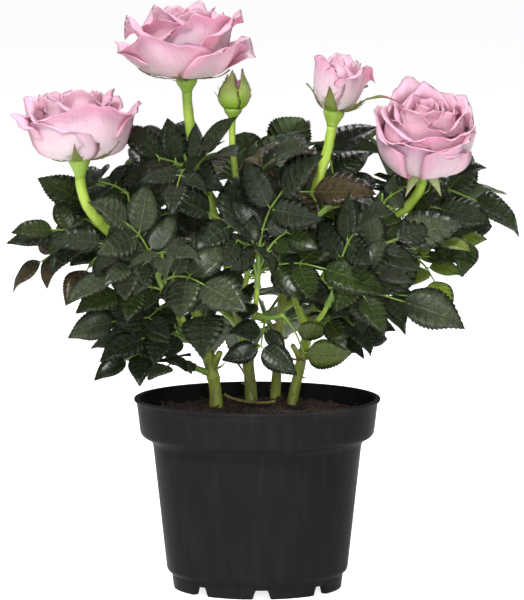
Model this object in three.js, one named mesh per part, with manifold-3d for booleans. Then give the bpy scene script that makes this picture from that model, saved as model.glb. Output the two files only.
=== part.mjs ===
// A rose bush in its round nursery pot, in millimetres. +Z is up, -Y is the front, and the origin is the
// centre of the pot's flat underside. Bearings turn from +X (0) through the back (90), and rises are degrees
// above the level.
import * as THREE from "three";
import { mergeVertices } from "three/addons/utils/BufferGeometryUtils.js";
import Module from "manifold-3d";

const wasm = await Module();
wasm.setup();

// ---- Driving sizes ----
const CLEAR = 0.3; // between a limb and what it carries
const POT = {
  height: 93,
  rimRadius: 60,
  lip: 1.6,
  collarTop: 58.8,
  collarFoot: 56.8,
  collarDepth: 18,
  collarTurn: 3,
  bodyTop: 51,
  bodyFoot: 44,
  footTop: 9,
  footShoulder: 41.8,
  footRadius: 41,
  wall: 1.5,
  floor: 4.5,
  hubRadius: 12,
  sides: 36,
};
const NOTCH = { count: 8, width: 9, depth: 5, turn: 3 };
const SOIL = { top: 88, edge: 84.5, flat: 44, radius: 54.8 };
const LEAFLET = { length: 38, halfWidth: 0.32, thick: 0.9, fold: 0.1, bend: 0.16, sunk: -0.1 };
const SEPAL = { halfWidth: 0.13, thick: 1, fold: 0.1, bend: 0.3, sunk: 2 };
const PETAL = { thick: 1.3, rows: 2, columns: 3, round: 0.1, widths: [0.9, 1, 0.86], sides: 12 };
const SPRAY = {
  petiole: 12,
  step: 14.5,
  radiusFoot: 0.7,
  radiusTip: 0.5,
  angle: 60, // between a side leaflet and the stalk
  arch: 30, // the stalk's fall over its length, in degrees
  louvre: [14, 22], // least tilt of its side leaflets, and how much more it may be
  wobble: 0.4,
  pairs: [0.72, 0.85], // the side leaflets' sizes against the end one's
  vary: 0.2,
};
const FAN = { swing: [45, 50], lift: 30, last: 6, size: [0.85, 0.3] }; // sprays set about a twig by the seed
const FLARE = { share: 0.35, run: 0.12 }; // a cane's foot swells by share, over its first run of the length
const LIMB_PULL = 0.38; // how far a limb runs straight at its two ends, as a share of their distance
const ROOT = 3; // how much of a leaflet's root may lie against its neighbours'
const TWIG = { radiusFoot: 1.6, radiusTip: 1.3, firstLeaf: 0.25 };

const COLOURS = {
  pot: 0x2b2a2b,
  soil: 0x2a1a14,
  cane: 0x6f8a35,
  stem: 0x86a332,
  leaf: 0x2f4526,
  petal: 0xe9a9c0,
  bud: 0x8b9a4c,
};

// ---- Shapes and solids ----
const degrees = THREE.MathUtils.degToRad;
const point = (x, y, z) => new THREE.Vector3(x, y, z);

function heading(bearing, rise) {
  const b = degrees(bearing);
  const r = degrees(rise);
  return point(Math.cos(b) * Math.cos(r), Math.sin(b) * Math.cos(r), Math.sin(r));
}

function seeded(seed) {
  let state = seed;
  return () => (state = (state * 16807) % 2147483647) / 2147483647;
}

function solidOf(geometry) {
  const bare = new THREE.BufferGeometry();
  bare.setAttribute("position", geometry.getAttribute("position"));
  if (geometry.index) bare.setIndex(geometry.index);
  const merged = mergeVertices(bare, 1e-4);
  return new wasm.Manifold(
    new wasm.Mesh({
      numProp: 3,
      vertProperties: new Float32Array(merged.attributes.position.array),
      triVerts: new Uint32Array(merged.index.array),
    }),
  );
}

function geometryOf(solid) {
  const mesh = solid.getMesh();
  return new THREE.BufferGeometry()
    .setAttribute("position", new THREE.BufferAttribute(new Float32Array(mesh.vertProperties), 3))
    .setIndex(new THREE.BufferAttribute(new Uint32Array(mesh.triVerts), 1));
}

function fromFaces(points, faces) {
  return solidOf(
    new THREE.BufferGeometry()
      .setAttribute("position", new THREE.Float32BufferAttribute(points.flatMap((p) => [p.x, p.y, p.z]), 3))
      .setIndex(faces.flat()),
  );
}

function turned(profile, sides) {
  const lathe = new THREE.LatheGeometry(
    profile.map(([r, z]) => new THREE.Vector2(r, z)),
    sides,
  );
  return solidOf(lathe.rotateX(Math.PI / 2));
}

// A closed tube of round section along a curve, its radius given by a function of the share run.
function tapered(curve, radiusAt, sides, steps) {
  const frames = curve.computeFrenetFrames(steps, false);
  const points = [];
  const faces = [];
  for (let i = 0; i <= steps; i++) {
    const centre = curve.getPoint(i / steps);
    for (let j = 0; j < sides; j++) {
      const a = (2 * Math.PI * j) / sides;
      points.push(
        centre
          .clone()
          .addScaledVector(frames.normals[i], radiusAt(i / steps) * Math.cos(a))
          .addScaledVector(frames.binormals[i], radiusAt(i / steps) * Math.sin(a)),
      );
    }
  }
  for (let i = 0; i < steps; i++)
    for (let j = 0; j < sides; j++) {
      const [a, b] = [i * sides + j, i * sides + ((j + 1) % sides)];
      faces.push([a, b, a + sides], [b, b + sides, a + sides]);
    }
  for (let j = 1; j < sides - 1; j++) {
    faces.push([0, j + 1, j]);
    faces.push([steps * sides, steps * sides + j, steps * sides + j + 1]);
  }
  return fromFaces(points, faces);
}

const plant = new THREE.Group();
const taken = []; // every solid that a leaf has to keep clear of, with its box

// The largest piece of a solid: hollows that fusing sealed are filled and loose scraps go.
function biggest(solid) {
  return solid.decompose().sort((a, b) => b.volume() - a.volume())[0];
}

function boxOf(solid) {
  const { min, max } = solid.boundingBox();
  return new THREE.Box3(new THREE.Vector3(...min), new THREE.Vector3(...max));
}

function meets(solid, others) {
  const box = boxOf(solid);
  return others.some((other) => other.box.intersectsBox(box) && !other.solid.intersect(solid).isEmpty());
}

function add(name, solid, colour, roughness) {
  const material = new THREE.MeshStandardMaterial({ color: colour, roughness, metalness: 0 });
  const mesh = new THREE.Mesh(geometryOf(solid), material);
  mesh.name = name;
  plant.add(mesh);
  return mesh;
}

// ---- Pot: one thin moulded shell on a notched foot, with a hub under its floor ----
function pot() {
  const p = POT;
  const collarBottom = p.height - p.collarDepth;
  const hub = turned(
    [
      [0, 0],
      [p.hubRadius, 0],
      [p.hubRadius, p.floor + 0.5],
      [0, p.floor + 0.5],
    ],
    24,
  );
  const wall = turned(
    [
      [0, p.floor],
      [p.footRadius - 2 * p.wall, p.floor],
      [p.footRadius - 2 * p.wall, 0],
      [p.footRadius, 0],
      [p.footShoulder, p.footTop - 2],
      [p.bodyFoot, p.footTop],
      [p.bodyTop, collarBottom - p.collarTurn],
      [p.collarFoot, collarBottom],
      [p.collarTop, p.height - p.lip],
      [p.rimRadius, p.height - p.lip],
      [p.rimRadius, p.height],
      [p.collarTop - p.wall, p.height],
      [p.collarFoot - p.wall, collarBottom + 1],
      [p.bodyTop - p.wall, collarBottom - p.collarTurn + 1],
      [p.bodyFoot - p.wall, p.footTop],
      [p.bodyFoot - 2 * p.wall, p.floor + p.wall],
      [0, p.floor + p.wall],
    ],
    p.sides,
  );
  let made = wall.add(hub);
  for (let k = 0; k < NOTCH.count; k++) {
    const cut = new THREE.BoxGeometry(6 * p.wall + 2, NOTCH.width, 2 * NOTCH.depth)
      .translate(p.footRadius, 0, 0)
      .rotateZ(degrees(NOTCH.turn - 90 + (360 * k) / NOTCH.count));
    made = made.subtract(solidOf(cut));
  }
  return made;
}

// ---- Soil: it fills the pot, nearly level, a little lower at the wall ----
function soil() {
  const p = POT;
  const gap = CLEAR;
  const collarBottom = p.height - p.collarDepth;
  return turned(
    [
      [0, p.floor + p.wall + gap],
      [p.bodyFoot - 2 * p.wall - 2 * gap, p.floor + p.wall + gap],
      [p.bodyFoot - p.wall - 2 * gap, p.footTop + gap],
      [p.bodyTop - p.wall - 2 * gap, collarBottom - p.collarTurn + 1],
      [SOIL.radius, collarBottom + 3],
      [SOIL.radius, SOIL.edge],
      [SOIL.flat, SOIL.top],
      [0, SOIL.top],
    ],
    p.sides,
  );
}

// ---- Limbs: canes from the soil, boughs from the canes, and a stem under each bloom ----
// A limb starts on the soil at foot, or on another limb at a share of its length, and ends at tip. It sets
// off along sets and comes in along ends, each a bearing and a rise.
const LIMBS = [
  { name: "cane_left", foot: [-20, 6], tip: [-29, 2, 132],
    sets: [120, 84], ends: [160, 72], girth: [6, 5.2] },
  { name: "cane_middle", foot: [-3, 22], tip: [-14, 10, 154],
    sets: [120, 86], ends: [215, 76], girth: [5.8, 4.8] },
  { name: "cane_right", foot: [17, 14], tip: [31, 8, 146], sets: [10, 78], ends: [0, 74], girth: [5, 4.4] },
  { name: "cane_back", foot: [9, 37], tip: [14, 46, 150], sets: [60, 84], ends: [70, 70], girth: [4.8, 4] },
  { name: "stem_left", on: "cane_left", tip: [-85, -25, 203], ends: [150, 87], girth: [4, 5] },
  { name: "stem_top", on: "cane_middle", tip: [-34, 0, 242], ends: [180, 88], girth: [4, 4.9] },
  { name: "stem_right", on: "cane_right", tip: [80, -12, 203], ends: [272, 62], girth: [3.8, 4.7] },
  { name: "stem_half_open", on: "cane_right", at: 0.62, tip: [36, -10, 226],
    sets: [215, 62], ends: [0, 82], girth: [3.6, 4.9] },
  { name: "stem_green_bud", on: "cane_middle", at: 0.7, tip: [-12, -5, 229],
    sets: [300, 58], ends: [35, 86], girth: [2.6, 3.2] },
  { name: "bough_left_outer", on: "cane_left", at: 0.72, tip: [-58, -4, 160],
    sets: [178, 36], ends: [180, 34], girth: [3, 2.4] },
  { name: "bough_left_front", on: "cane_left", at: 0.5, tip: [-42, -32, 146],
    sets: [232, 44], ends: [235, 46], girth: [2.8, 2.2] },
  { name: "bough_front", on: "cane_middle", at: 0.45, tip: [0, -24, 150],
    sets: [285, 34], ends: [275, 54], girth: [2.8, 2.2] },
  { name: "bough_right_front", on: "cane_right", at: 0.45, tip: [34, -28, 142],
    sets: [280, 44], ends: [290, 44], girth: [2.8, 2.2] },
  { name: "bough_right_outer", on: "cane_right", at: 0.78, tip: [70, 0, 160],
    sets: [350, 22], ends: [0, 34], girth: [3, 2.4] },
  { name: "bough_back_left", on: "cane_middle", at: 0.55, tip: [-44, 42, 152],
    sets: [140, 34], ends: [135, 40], girth: [2.8, 2.2] },
  { name: "bough_back_right", on: "cane_back", at: 0.7, tip: [54, 50, 152],
    sets: [20, 30], ends: [20, 36], girth: [2.8, 2.2] },
];
const limbs = {};

function limb({ name, foot, on, at = 1, tip, sets, ends, girth }) {
  const end = point(...tip);
  const parent = limbs[on];
  let start = foot ? point(...foot, SOIL.top + CLEAR) : parent.curve.getPoint(at);
  const away = sets ? heading(...sets) : parent.curve.getTangent(1);
  if (parent) {
    const along = Math.abs(away.dot(parent.curve.getTangent(at)));
    const across = Math.sqrt(1 - along * along);
    const radius = parent.radiusAt(at);
    const off = at === 1 ? CLEAR : (radius + CLEAR + (girth[0] / 2) * along) / across;
    start = start.addScaledVector(away, off);
  }
  const pull = LIMB_PULL * start.distanceTo(end);
  const curve = new THREE.CubicBezierCurve3(
    start,
    start.clone().addScaledVector(away, pull),
    end.clone().addScaledVector(heading(...ends), -pull),
    end,
  );
  const flare = foot ? FLARE.share : 0;
  const swell = (t) => 1 + flare * Math.max(0, 1 - t / FLARE.run);
  const radiusAt = (t) => THREE.MathUtils.lerp(girth[0], girth[1], t) * 0.5 * swell(t);
  let solid = tapered(curve, radiusAt, 6, 5);
  if (foot) solid = solid.trimByPlane([0, 0, 1], SOIL.top + CLEAR);
  limbs[name] = { curve, radiusAt, solid };
  taken.push({ solid, box: boxOf(solid) });
  add(name, solid, foot ? COLOURS.cane : COLOURS.stem, 0.5);
}

// ---- Leaflets and sepals ----
// A blade: four points round its edge and one on each face of its midrib, which is its thickest place.
function blade({ foot, along, across, normal, length }, shape, spare) {
  const half = shape.halfWidth * length + spare;
  const at = (a, c, n) =>
    foot.clone().addScaledVector(along, a).addScaledVector(across, c).addScaledVector(normal, n);
  const drop = (share) => -shape.bend * length * share * share;
  const side = (share, k) => at(share * length, k * half, drop(share) + 2 * shape.fold * half);
  const middle = 0.42;
  return fromFaces(
    [
      at(-shape.sunk, 0, 0),
      side(middle, 1),
      at(length + spare, 0, drop(1)),
      side(middle, -1),
      at(middle * length, 0, drop(middle) + shape.thick / 2 + spare),
      at(middle * length, 0, drop(middle) - shape.thick / 2 - spare),
    ],
    [0, 1, 2, 3].flatMap((i) => {
      const j = (i + 1) % 4;
      return [
        [j, i, 4],
        [i, j, 5],
      ];
    }),
  );
}

// ---- Blooms: rings of curved petals on a closed heart, over a hip with five sepals ----
// A profile holds the hip, the cup and the heart. A ring has count petals, the first at turn, each leaving
// the heart at foot; slopes are its degrees from the bloom's axis from there to its rim.
const BLOOMS = [
  {
    name: "rose_left", on: "stem_left", sepals: { foot: [4, 7], length: 20, slope: 84 },
    profile: [[2.5, 0], [4.6, 5], [4.8, 8], [13, 9.5], [21, 17], [22, 28], [13, 39]], top: 41,
    rings: [
      { count: 5, turn: 20, foot: [18.5, 17], length: 21, width: 29, slopes: [14, 18, 74] },
      { count: 4, turn: 50, foot: [15, 30], length: 13, width: 20, slopes: [4, 10, 60] },
    ],
  },
  {
    name: "rose_top", on: "stem_top", sepals: { foot: [4, 6], length: 22, slope: 82 },
    profile: [[2.5, 0], [4.9, 4], [5, 6.5], [14, 8], [22, 14], [19, 24], [14, 37]], top: 43,
    rings: [
      { count: 5, turn: 18, foot: [17, 11], length: 21, width: 34, slopes: [66, 48, 26] },
      { count: 5, turn: 45, foot: [15.5, 23], length: 20, width: 20, slopes: [6, 14, 66] },
    ],
  },
  {
    name: "rose_right", on: "stem_right", sepals: { foot: [4, 5], length: 16, slope: 130 },
    profile: [[2.4, 0], [4.6, 3], [5, 5], [16, 7], [25, 16], [26, 28], [17, 40]], top: 44,
    rings: [
      { count: 5, turn: 54, foot: [22, 15], length: 22, width: 34, slopes: [16, 8, 44] },
      { count: 4, turn: 20, foot: [19, 31], length: 12, width: 22, slopes: [-14, -8, 30] },
    ],
  },
  {
    name: "rose_half_open", on: "stem_half_open", sepals: { foot: [5, 7], length: 17, slope: 50 },
    profile: [[2.5, 0], [5, 4.5], [5, 7], [9, 10], [10.5, 18], [8, 26]], top: 30,
    rings: [{ count: 4, turn: 60, foot: [8, 12], length: 25, width: 20, slopes: [14, 8, 40] }],
  },
  {
    name: "bud_green", on: "stem_green_bud", sepals: { foot: [3.2, 13], length: 12, slope: 22 },
    profile: [[1.7, 0], [4.6, 3.5], [4.4, 6], [6.2, 10], [5.6, 15], [2.6, 20]], top: 23,
    rings: [],
  },
];

// A petal is a closed plate, thick in the middle and thin at its edge, wrapped round the bloom's axis.
function petal({ foot, length, width, slopes }, turn) {
  const { rows, columns, widths } = PETAL;
  const fine = 20;
  const midrib = [[...foot, degrees(slopes[0])]];
  for (let i = 1; i <= fine; i++) {
    const [r, z] = midrib[i - 1];
    const place = ((i - 0.5) / fine) * (slopes.length - 1);
    const k = Math.floor(place);
    const slope = degrees(THREE.MathUtils.lerp(slopes[k], slopes[k + 1], place - k));
    midrib.push([r + (Math.sin(slope) * length) / fine, z + (Math.cos(slope) * length) / fine, slope]);
  }
  const points = [];
  const index = new Map();
  const vertex = (i, j, face) => {
    const rim = i === 0 || i === rows || j === 0 || j === columns;
    const key = [i, j, rim ? 0 : face].join();
    if (!index.has(key)) {
      const s = (2 * j) / columns - 1;
      const [r, z, slope] = midrib[Math.round(((fine * i) / rows) * (1 - PETAL.round * s * s))];
      const wrap = (0.5 * width + r) / 2;
      const angle = (s * width * widths[i]) / 2 / wrap;
      const out = rim ? 0 : (face * PETAL.thick) / 2;
      const place = point(
        r - wrap + (wrap + out * Math.cos(slope)) * Math.cos(angle),
        (wrap + out * Math.cos(slope)) * Math.sin(angle),
        z - out * Math.sin(slope),
      );
      points.push(place.applyAxisAngle(point(0, 0, 1), turn));
      index.set(key, points.length - 1);
    }
    return index.get(key);
  };
  const faces = [];
  for (let i = 0; i < rows; i++)
    for (let j = 0; j < columns; j++)
      for (const face of [1, -1]) {
        const [a, b] = [vertex(i, j, face), vertex(i, j + 1, face)];
        const [d, c] = [vertex(i + 1, j, face), vertex(i + 1, j + 1, face)];
        const corner = (i === 0 && j === 0) || (i === rows - 1 && j === columns - 1);
        const halves = corner ? [[a, b, d], [b, c, d]] : [[a, b, c], [a, c, d]];
        halves.forEach(([p, q, r]) => faces.push(face > 0 ? [p, q, r] : [p, r, q]));
      }
  return fromFaces(points, faces);
}

function bloom({ name, on, sepals, profile, top, rings }) {
  let solid = turned([[0, 0], ...profile, [0, top]], PETAL.sides);
  rings.forEach((ring) => {
    for (let k = 0; k < ring.count; k++)
      solid = solid.add(petal(ring, degrees(ring.turn + (360 * k) / ring.count)));
  });
  for (let k = 0; k < 5; k++) {
    const bearing = 36 + 72 * k;
    const along = heading(bearing, 90 - sepals.slope);
    const across = heading(bearing + 90, 0);
    const foot = heading(bearing, 0).multiplyScalar(sepals.foot[0]).setZ(sepals.foot[1]);
    const normal = along.clone().cross(across).negate();
    solid = solid.add(blade({ foot, along, across, normal, length: sepals.length }, SEPAL, 0));
  }
  const stem = limbs[on];
  const axis = stem.curve.getTangent(1);
  const turn = new THREE.Quaternion().setFromUnitVectors(point(0, 0, 1), axis);
  const foot = stem.curve.getPoint(1).addScaledVector(axis, CLEAR);
  const matrix = new THREE.Matrix4().compose(foot, turn, point(1, 1, 1));
  const placed = biggest(solid.transform(matrix.elements).simplify(0.02));
  taken.push({ solid: placed, box: boxOf(placed) });
  add(name, placed, rings.length ? COLOURS.petal : COLOURS.bud, 0.6);
}

// ---- Foliage: a twig with sprays of five leaflets, all fused ----
// A mass has a twig of its length set on a limb, and sprays along it, each a share of the twig, a bearing, a
// rise and a size. A number of sprays stands for that many fanned about the twig. Its blades turn to faces.
const MASSES = [
  { name: "leaves_left_outer", on: "bough_left_outer", bearing: 185, rise: 24, length: 14,
    faces: [255, 48], seed: 11,
    sprays: [[0.3, 172, 66, 0.8], [0.6, 186, 30, 0.8], [0.9, 235, -6, 0.62], [1, 180, 52, 0.7]] },
  { name: "leaves_left_low", on: "cane_left", at: 0.66, bearing: 192, rise: 22, length: 17,
    faces: [255, 48], seed: 27,
    sprays: [[0.3, 220, 22, 0.7], [0.6, 155, 30, 0.72], [1, 188, 22, 0.68]] },
  { name: "leaves_left_bottom", on: "cane_left", at: 0.34, bearing: 205, rise: 18, length: 22,
    faces: [255, 50], seed: 37,
    sprays: [[0.4, 240, 22, 0.52], [0.7, 176, 28, 0.5], [1, 205, 10, 0.58]] },
  { name: "leaves_left_front", on: "bough_left_front", bearing: 225, rise: 44, length: 18,
    faces: [262, 42], seed: 43,
    sprays: [[0.2, 212, 18, 0.64], [0.5, 305, 20, 0.9], [0.8, 185, 45, 0.74], [1, 235, 62, 0.8]] },
  { name: "leaves_left_back", on: "stem_left", at: 0.3, bearing: 125, rise: 20, length: 24,
    faces: [150, 55], seed: 53, sprays: 4 },
  { name: "leaves_left_top", on: "stem_left", at: 0.56, bearing: 50, rise: 40, length: 18,
    faces: [265, 50], seed: 61,
    sprays: [[0.3, 10, 30, 0.85], [0.7, 130, 40, 0.85], [1, 60, 52, 0.85]] },
  { name: "leaves_front", on: "bough_front", bearing: 275, rise: 56, length: 20, faces: [270, 36], seed: 71,
    sprays: [[0.2, 205, 30, 0.85], [0.4, 330, 22, 0.9], [0.7, 200, 60, 0.85], [1, 300, 70, 0.9]] },
  { name: "leaves_front_low", on: "bough_front", at: 0.5, bearing: 320, rise: -6, length: 16,
    faces: [270, 30], seed: 83,
    sprays: [[0.3, 258, -40, 0.66], [0.7, 0, 8, 0.6], [1, 348, -52, 0.78]] },
  { name: "leaves_centre", on: "cane_middle", at: 0.72, bearing: 212, rise: 12, length: 16,
    faces: [265, 40], seed: 89,
    sprays: [[0.3, 180, 20, 0.9], [0.7, 265, 10, 0.85], [1, 225, 50, 0.95]] },
  { name: "leaves_top_left", on: "stem_top", at: 0.42, bearing: 235, rise: 30, length: 16,
    faces: [262, 45], seed: 97,
    sprays: [[0.3, 160, 20, 0.8], [0.7, 290, 40, 0.85], [1, 225, 30, 0.8]] },
  { name: "leaves_top_middle", on: "stem_green_bud", at: 0.45, bearing: 290, rise: 40, length: 14,
    faces: [268, 38], seed: 101,
    sprays: [[0.4, 340, 34, 0.85], [1, 290, 52, 0.9]] },
  { name: "leaves_inner", on: "stem_half_open", at: 0.2, bearing: 60, rise: 20, length: 18,
    faces: [280, 50], seed: 107,
    sprays: [[0.3, 120, 20, 0.95], [0.7, 20, 30, 0.95], [1, 60, 50, 0.95]] },
  { name: "leaves_top_back", on: "stem_top", at: 0.34, bearing: 70, rise: 16, length: 30,
    faces: [90, 60], seed: 113, sprays: 4 },
  { name: "leaves_top_right", on: "stem_half_open", at: 0.52, bearing: 350, rise: 30, length: 16,
    faces: [270, 42], seed: 127,
    sprays: [[0.4, 30, 26, 0.85], [0.7, 300, 24, 0.85], [1, 110, 72, 0.95]] },
  { name: "leaves_right_front", on: "bough_right_front", bearing: 295, rise: 40, length: 18,
    faces: [275, 40], seed: 131,
    sprays: [[0.2, 345, 16, 0.88], [0.5, 240, 34, 0.8], [0.8, 10, 50, 0.9], [1, 290, 62, 0.85]] },
  { name: "leaves_right_top", on: "stem_right", at: 0.45, bearing: 40, rise: 40, length: 22,
    faces: [275, 50], seed: 149,
    sprays: [[0.4, 335, 22, 0.7], [0.7, 90, 22, 0.75], [1, 5, 8, 0.96]] },
  { name: "leaves_right_outer", on: "bough_right_outer", bearing: 355, rise: 30, length: 14,
    faces: [285, 44], seed: 151,
    sprays: [[0.3, 300, -8, 0.62], [0.6, 30, 36, 0.66], [1, 345, 44, 0.5]] },
  { name: "leaves_right_low", on: "cane_right", at: 0.66, bearing: 345, rise: 18, length: 24,
    faces: [285, 46], seed: 167,
    sprays: [[0.3, 290, 18, 0.76], [0.6, 30, 28, 0.7], [1, 350, 26, 0.6]] },
  { name: "leaves_right_bottom", on: "cane_right", at: 0.4, bearing: 335, rise: 18, length: 16,
    faces: [282, 42], seed: 173,
    sprays: [[0.4, 20, 30, 0.5], [1, 325, 36, 0.5]] },
  { name: "leaves_back_left", on: "bough_back_left", bearing: 130, rise: 36, length: 26,
    faces: [130, 50], seed: 187, sprays: 5 },
  { name: "leaves_back", on: "cane_back", bearing: 85, rise: 60, length: 28,
    faces: [90, 50], seed: 193, sprays: 5 },
  { name: "leaves_back_low", on: "cane_back", at: 0.45, bearing: 105, rise: 12, length: 34,
    faces: [95, 50], seed: 199, sprays: 4 },
  { name: "leaves_back_right", on: "bough_back_right", bearing: 30, rise: 34, length: 26,
    faces: [40, 50], seed: 211, sprays: 5 },
];

const varied = (draw) => 1 - SPRAY.vary / 2 + SPRAY.vary * draw();

// The place and turn of each leaflet of one spray: its foot, its three directions and its length.
function leafletsOf(start, bearing, rise, faces, size, draw) {
  const light = heading(...faces);
  const path = [start];
  const leaflets = [];
  const lengths = [SPRAY.petiole, SPRAY.step, SPRAY.step].map((l) => l * size);
  // A spray's side blades tilt alike, so that they pass one another.
  const louvre = degrees(SPRAY.louvre[0] + SPRAY.louvre[1] * draw());
  lengths.forEach((l, i) => {
    const t = heading(bearing, rise - (SPRAY.arch * i) / 2);
    const end = path[path.length - 1].clone().addScaledVector(t, l);
    path.push(end);
    const wobble = point(draw() - 0.5, draw() - 0.5, draw() - 0.5).multiplyScalar(SPRAY.wobble);
    const up = light.clone().add(wobble);
    up.addScaledVector(t, -up.dot(t)).normalize();
    const side = t.clone().cross(up).normalize();
    const turns = i === 2 ? [0] : [-1, 1];
    turns.forEach((k) => {
      const swing = degrees(k * SPRAY.angle * varied(draw));
      const along = t.clone().multiplyScalar(Math.cos(swing)).addScaledVector(side, Math.sin(swing));
      const across = up.clone().cross(along).normalize();
      const tilt = k * louvre;
      const normal = up.clone().multiplyScalar(Math.cos(tilt)).addScaledVector(across, Math.sin(tilt));
      const grown = (SPRAY.pairs[i] ?? 1) * varied(draw);
      leaflets.push({
        foot: end.clone().addScaledVector(t, i === 2 ? -0.9 : 0),
        along,
        across: normal.clone().cross(along).normalize(),
        normal,
        length: LEAFLET.length * size * grown,
      });
    });
  });
  return { path, leaflets };
}

function twigOf({ name, on, at = 1, bearing, rise, length }) {
  const parent = limbs[on];
  const away = heading(bearing, rise);
  const along = Math.abs(away.dot(parent.curve.getTangent(at)));
  const across = Math.sqrt(1 - along * along);
  const off = at === 1 ? CLEAR : (parent.radiusAt(at) + CLEAR + 0.7 * TWIG.radiusFoot * along) / across;
  const start = parent.curve.getPoint(at).addScaledVector(away, off);
  const end = start.clone().addScaledVector(heading(bearing, rise + 12), length);
  const bow = start.clone().addScaledVector(away, length / 2);
  const curve = new THREE.QuadraticBezierCurve3(start, bow, end);
  const solid = tapered(curve, (t) => THREE.MathUtils.lerp(TWIG.radiusFoot, TWIG.radiusTip, t), 3, 2);
  return { name, curve, solid, box: boxOf(solid) };
}

function foliage({ name, bearing, rise, sprays, faces, seed }) {
  const draw = seeded(seed);
  const { curve, solid: twig, box } = taken.find((t) => t.name === name);
  const others = taken.filter((o) => o.name !== name && o.box.intersectsBox(box.clone().expandByScalar(90)));
  const own = [];
  let solid = twig;
  const fan = (k) => {
    const share = TWIG.firstLeaf + ((1 - TWIG.firstLeaf) * k) / (sprays - 1);
    const last = share === 1;
    const leaves = last ? bearing : bearing + (k % 2 ? 1 : -1) * (FAN.swing[0] + FAN.swing[1] * draw());
    return [share, leaves, rise + (last ? FAN.last : FAN.lift * draw()), FAN.size[0] + FAN.size[1] * draw()];
  };
  const list = Array.isArray(sprays) ? sprays : Array.from({ length: sprays }, (_, k) => fan(k));
  list.forEach(([share, leaves, lift, size]) => {
    const root = curve.getPointAt(Math.min(share, 0.97));
    const { path, leaflets } = leafletsOf(root, leaves, lift, faces, size, draw);
    const line = new THREE.CatmullRomCurve3(path);
    const stalk = (spare) =>
      tapered(line, (t) => THREE.MathUtils.lerp(SPRAY.radiusFoot, SPRAY.radiusTip, t) + spare, 3, 3);
    if (meets(stalk(2 * CLEAR), others)) return;
    solid = solid.add(stalk(0));
    for (const leaflet of leaflets) {
      const rooted = leaflet.foot.clone().addScaledVector(leaflet.along, ROOT);
      const outer = { ...leaflet, foot: rooted, length: leaflet.length - ROOT };
      if (meets(blade(leaflet, LEAFLET, CLEAR), others) || meets(blade(outer, LEAFLET, CLEAR), own)) continue;
      const leaf = blade(leaflet, LEAFLET, 0);
      own.push({ solid: leaf, box: boxOf(leaf) });
      solid = solid.add(leaf);
    }
  });
  const made = biggest(solid.simplify(0.02));
  taken.push({ solid: made, box: boxOf(made) });
  add(name, made, COLOURS.leaf, 0.45);
}

add("pot", pot(), COLOURS.pot, 0.5);
add("soil", soil(), COLOURS.soil, 0.95);
LIMBS.forEach(limb);
taken.push({ solid: pot(), box: boxOf(pot()) }, { solid: soil(), box: boxOf(soil()) });
BLOOMS.forEach(bloom);
MASSES.forEach((mass) => taken.push(twigOf(mass)));
MASSES.forEach(foliage);

export default plant;
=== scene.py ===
"""The looks of a rose bush in its round nursery pot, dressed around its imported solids.

Sizes are in millimetres until a mesh is made. +Z is up, -Y is the front, and the origin is the centre of the pot's
underside. Bearings turn from +X (0) through the back (90); rises are degrees above the level.
"""

import math

import bpy
import numpy as np
from mathutils import Matrix, Vector, noise
from mathutils.bvhtree import BVHTree


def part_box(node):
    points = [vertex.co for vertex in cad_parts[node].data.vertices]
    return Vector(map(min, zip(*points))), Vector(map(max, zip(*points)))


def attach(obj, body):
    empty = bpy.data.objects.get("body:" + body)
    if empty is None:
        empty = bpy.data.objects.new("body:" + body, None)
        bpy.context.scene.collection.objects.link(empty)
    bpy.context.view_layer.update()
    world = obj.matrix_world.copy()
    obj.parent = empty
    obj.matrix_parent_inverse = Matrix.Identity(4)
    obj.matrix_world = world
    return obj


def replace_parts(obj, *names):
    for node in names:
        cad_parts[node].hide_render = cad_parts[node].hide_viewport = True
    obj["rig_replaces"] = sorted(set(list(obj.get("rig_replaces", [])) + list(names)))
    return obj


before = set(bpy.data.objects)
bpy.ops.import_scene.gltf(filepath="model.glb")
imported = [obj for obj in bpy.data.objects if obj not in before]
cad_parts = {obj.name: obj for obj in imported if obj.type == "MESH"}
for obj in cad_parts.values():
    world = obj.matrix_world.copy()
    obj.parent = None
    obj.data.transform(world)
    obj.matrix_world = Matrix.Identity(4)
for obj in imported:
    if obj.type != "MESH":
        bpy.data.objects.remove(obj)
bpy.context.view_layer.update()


# ---- Pot ----
# One thin wall of black polypropylene, injection moulded: a rolled lip, a straight collar that the pot is lifted by,
# a tapering body and a foot ring with eight drainage notches. Its surface is matte, with faint flow lines.
MM = 0.001
POT_SIDES = 360
POT_OUTLINE = (  # radius, height and how far each corner is rounded
    (38, 0, 0.3), (41, 0, 0.5), (41.8, 7, 0.5), (44, 9, 1.2), (51, 72, 2.5), (56.8, 75, 2.2), (58.8, 91.4, 0.3),
    (60, 91.6, 0.6), (60, 93, 0.7), (57.3, 93, 0.7), (55.3, 76, 2), (49.5, 73, 2), (42.5, 9, 1.5), (41, 6, 1),
)
FLOOR_UNDER = 4.5
POT_UNDERSIDE = (  # the floor from below, with the round hub in its middle
    (38, FLOOR_UNDER), (30, FLOOR_UNDER), (13, FLOOR_UNDER), (12, 4.2), (12, 0.4), (11.5, 0), (0.01, 0),
)
POT_FLOOR = ((30, 6), (0.01, 6))
NOTCHES = 8
NOTCH_TURN = 3
NOTCH_HALF = 4.6
NOTCH_SIDE = 1.8
NOTCH_HEIGHT = 4.4
RING_INSIDE, RING_EDGE, RING_TOP = 30, 41.01, 7.0  # the foot ring, which the notches cut
DUST_BAND = (0.088, 0.0935)  # the heights, in metres, between which peat dust clings to the rim


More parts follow.
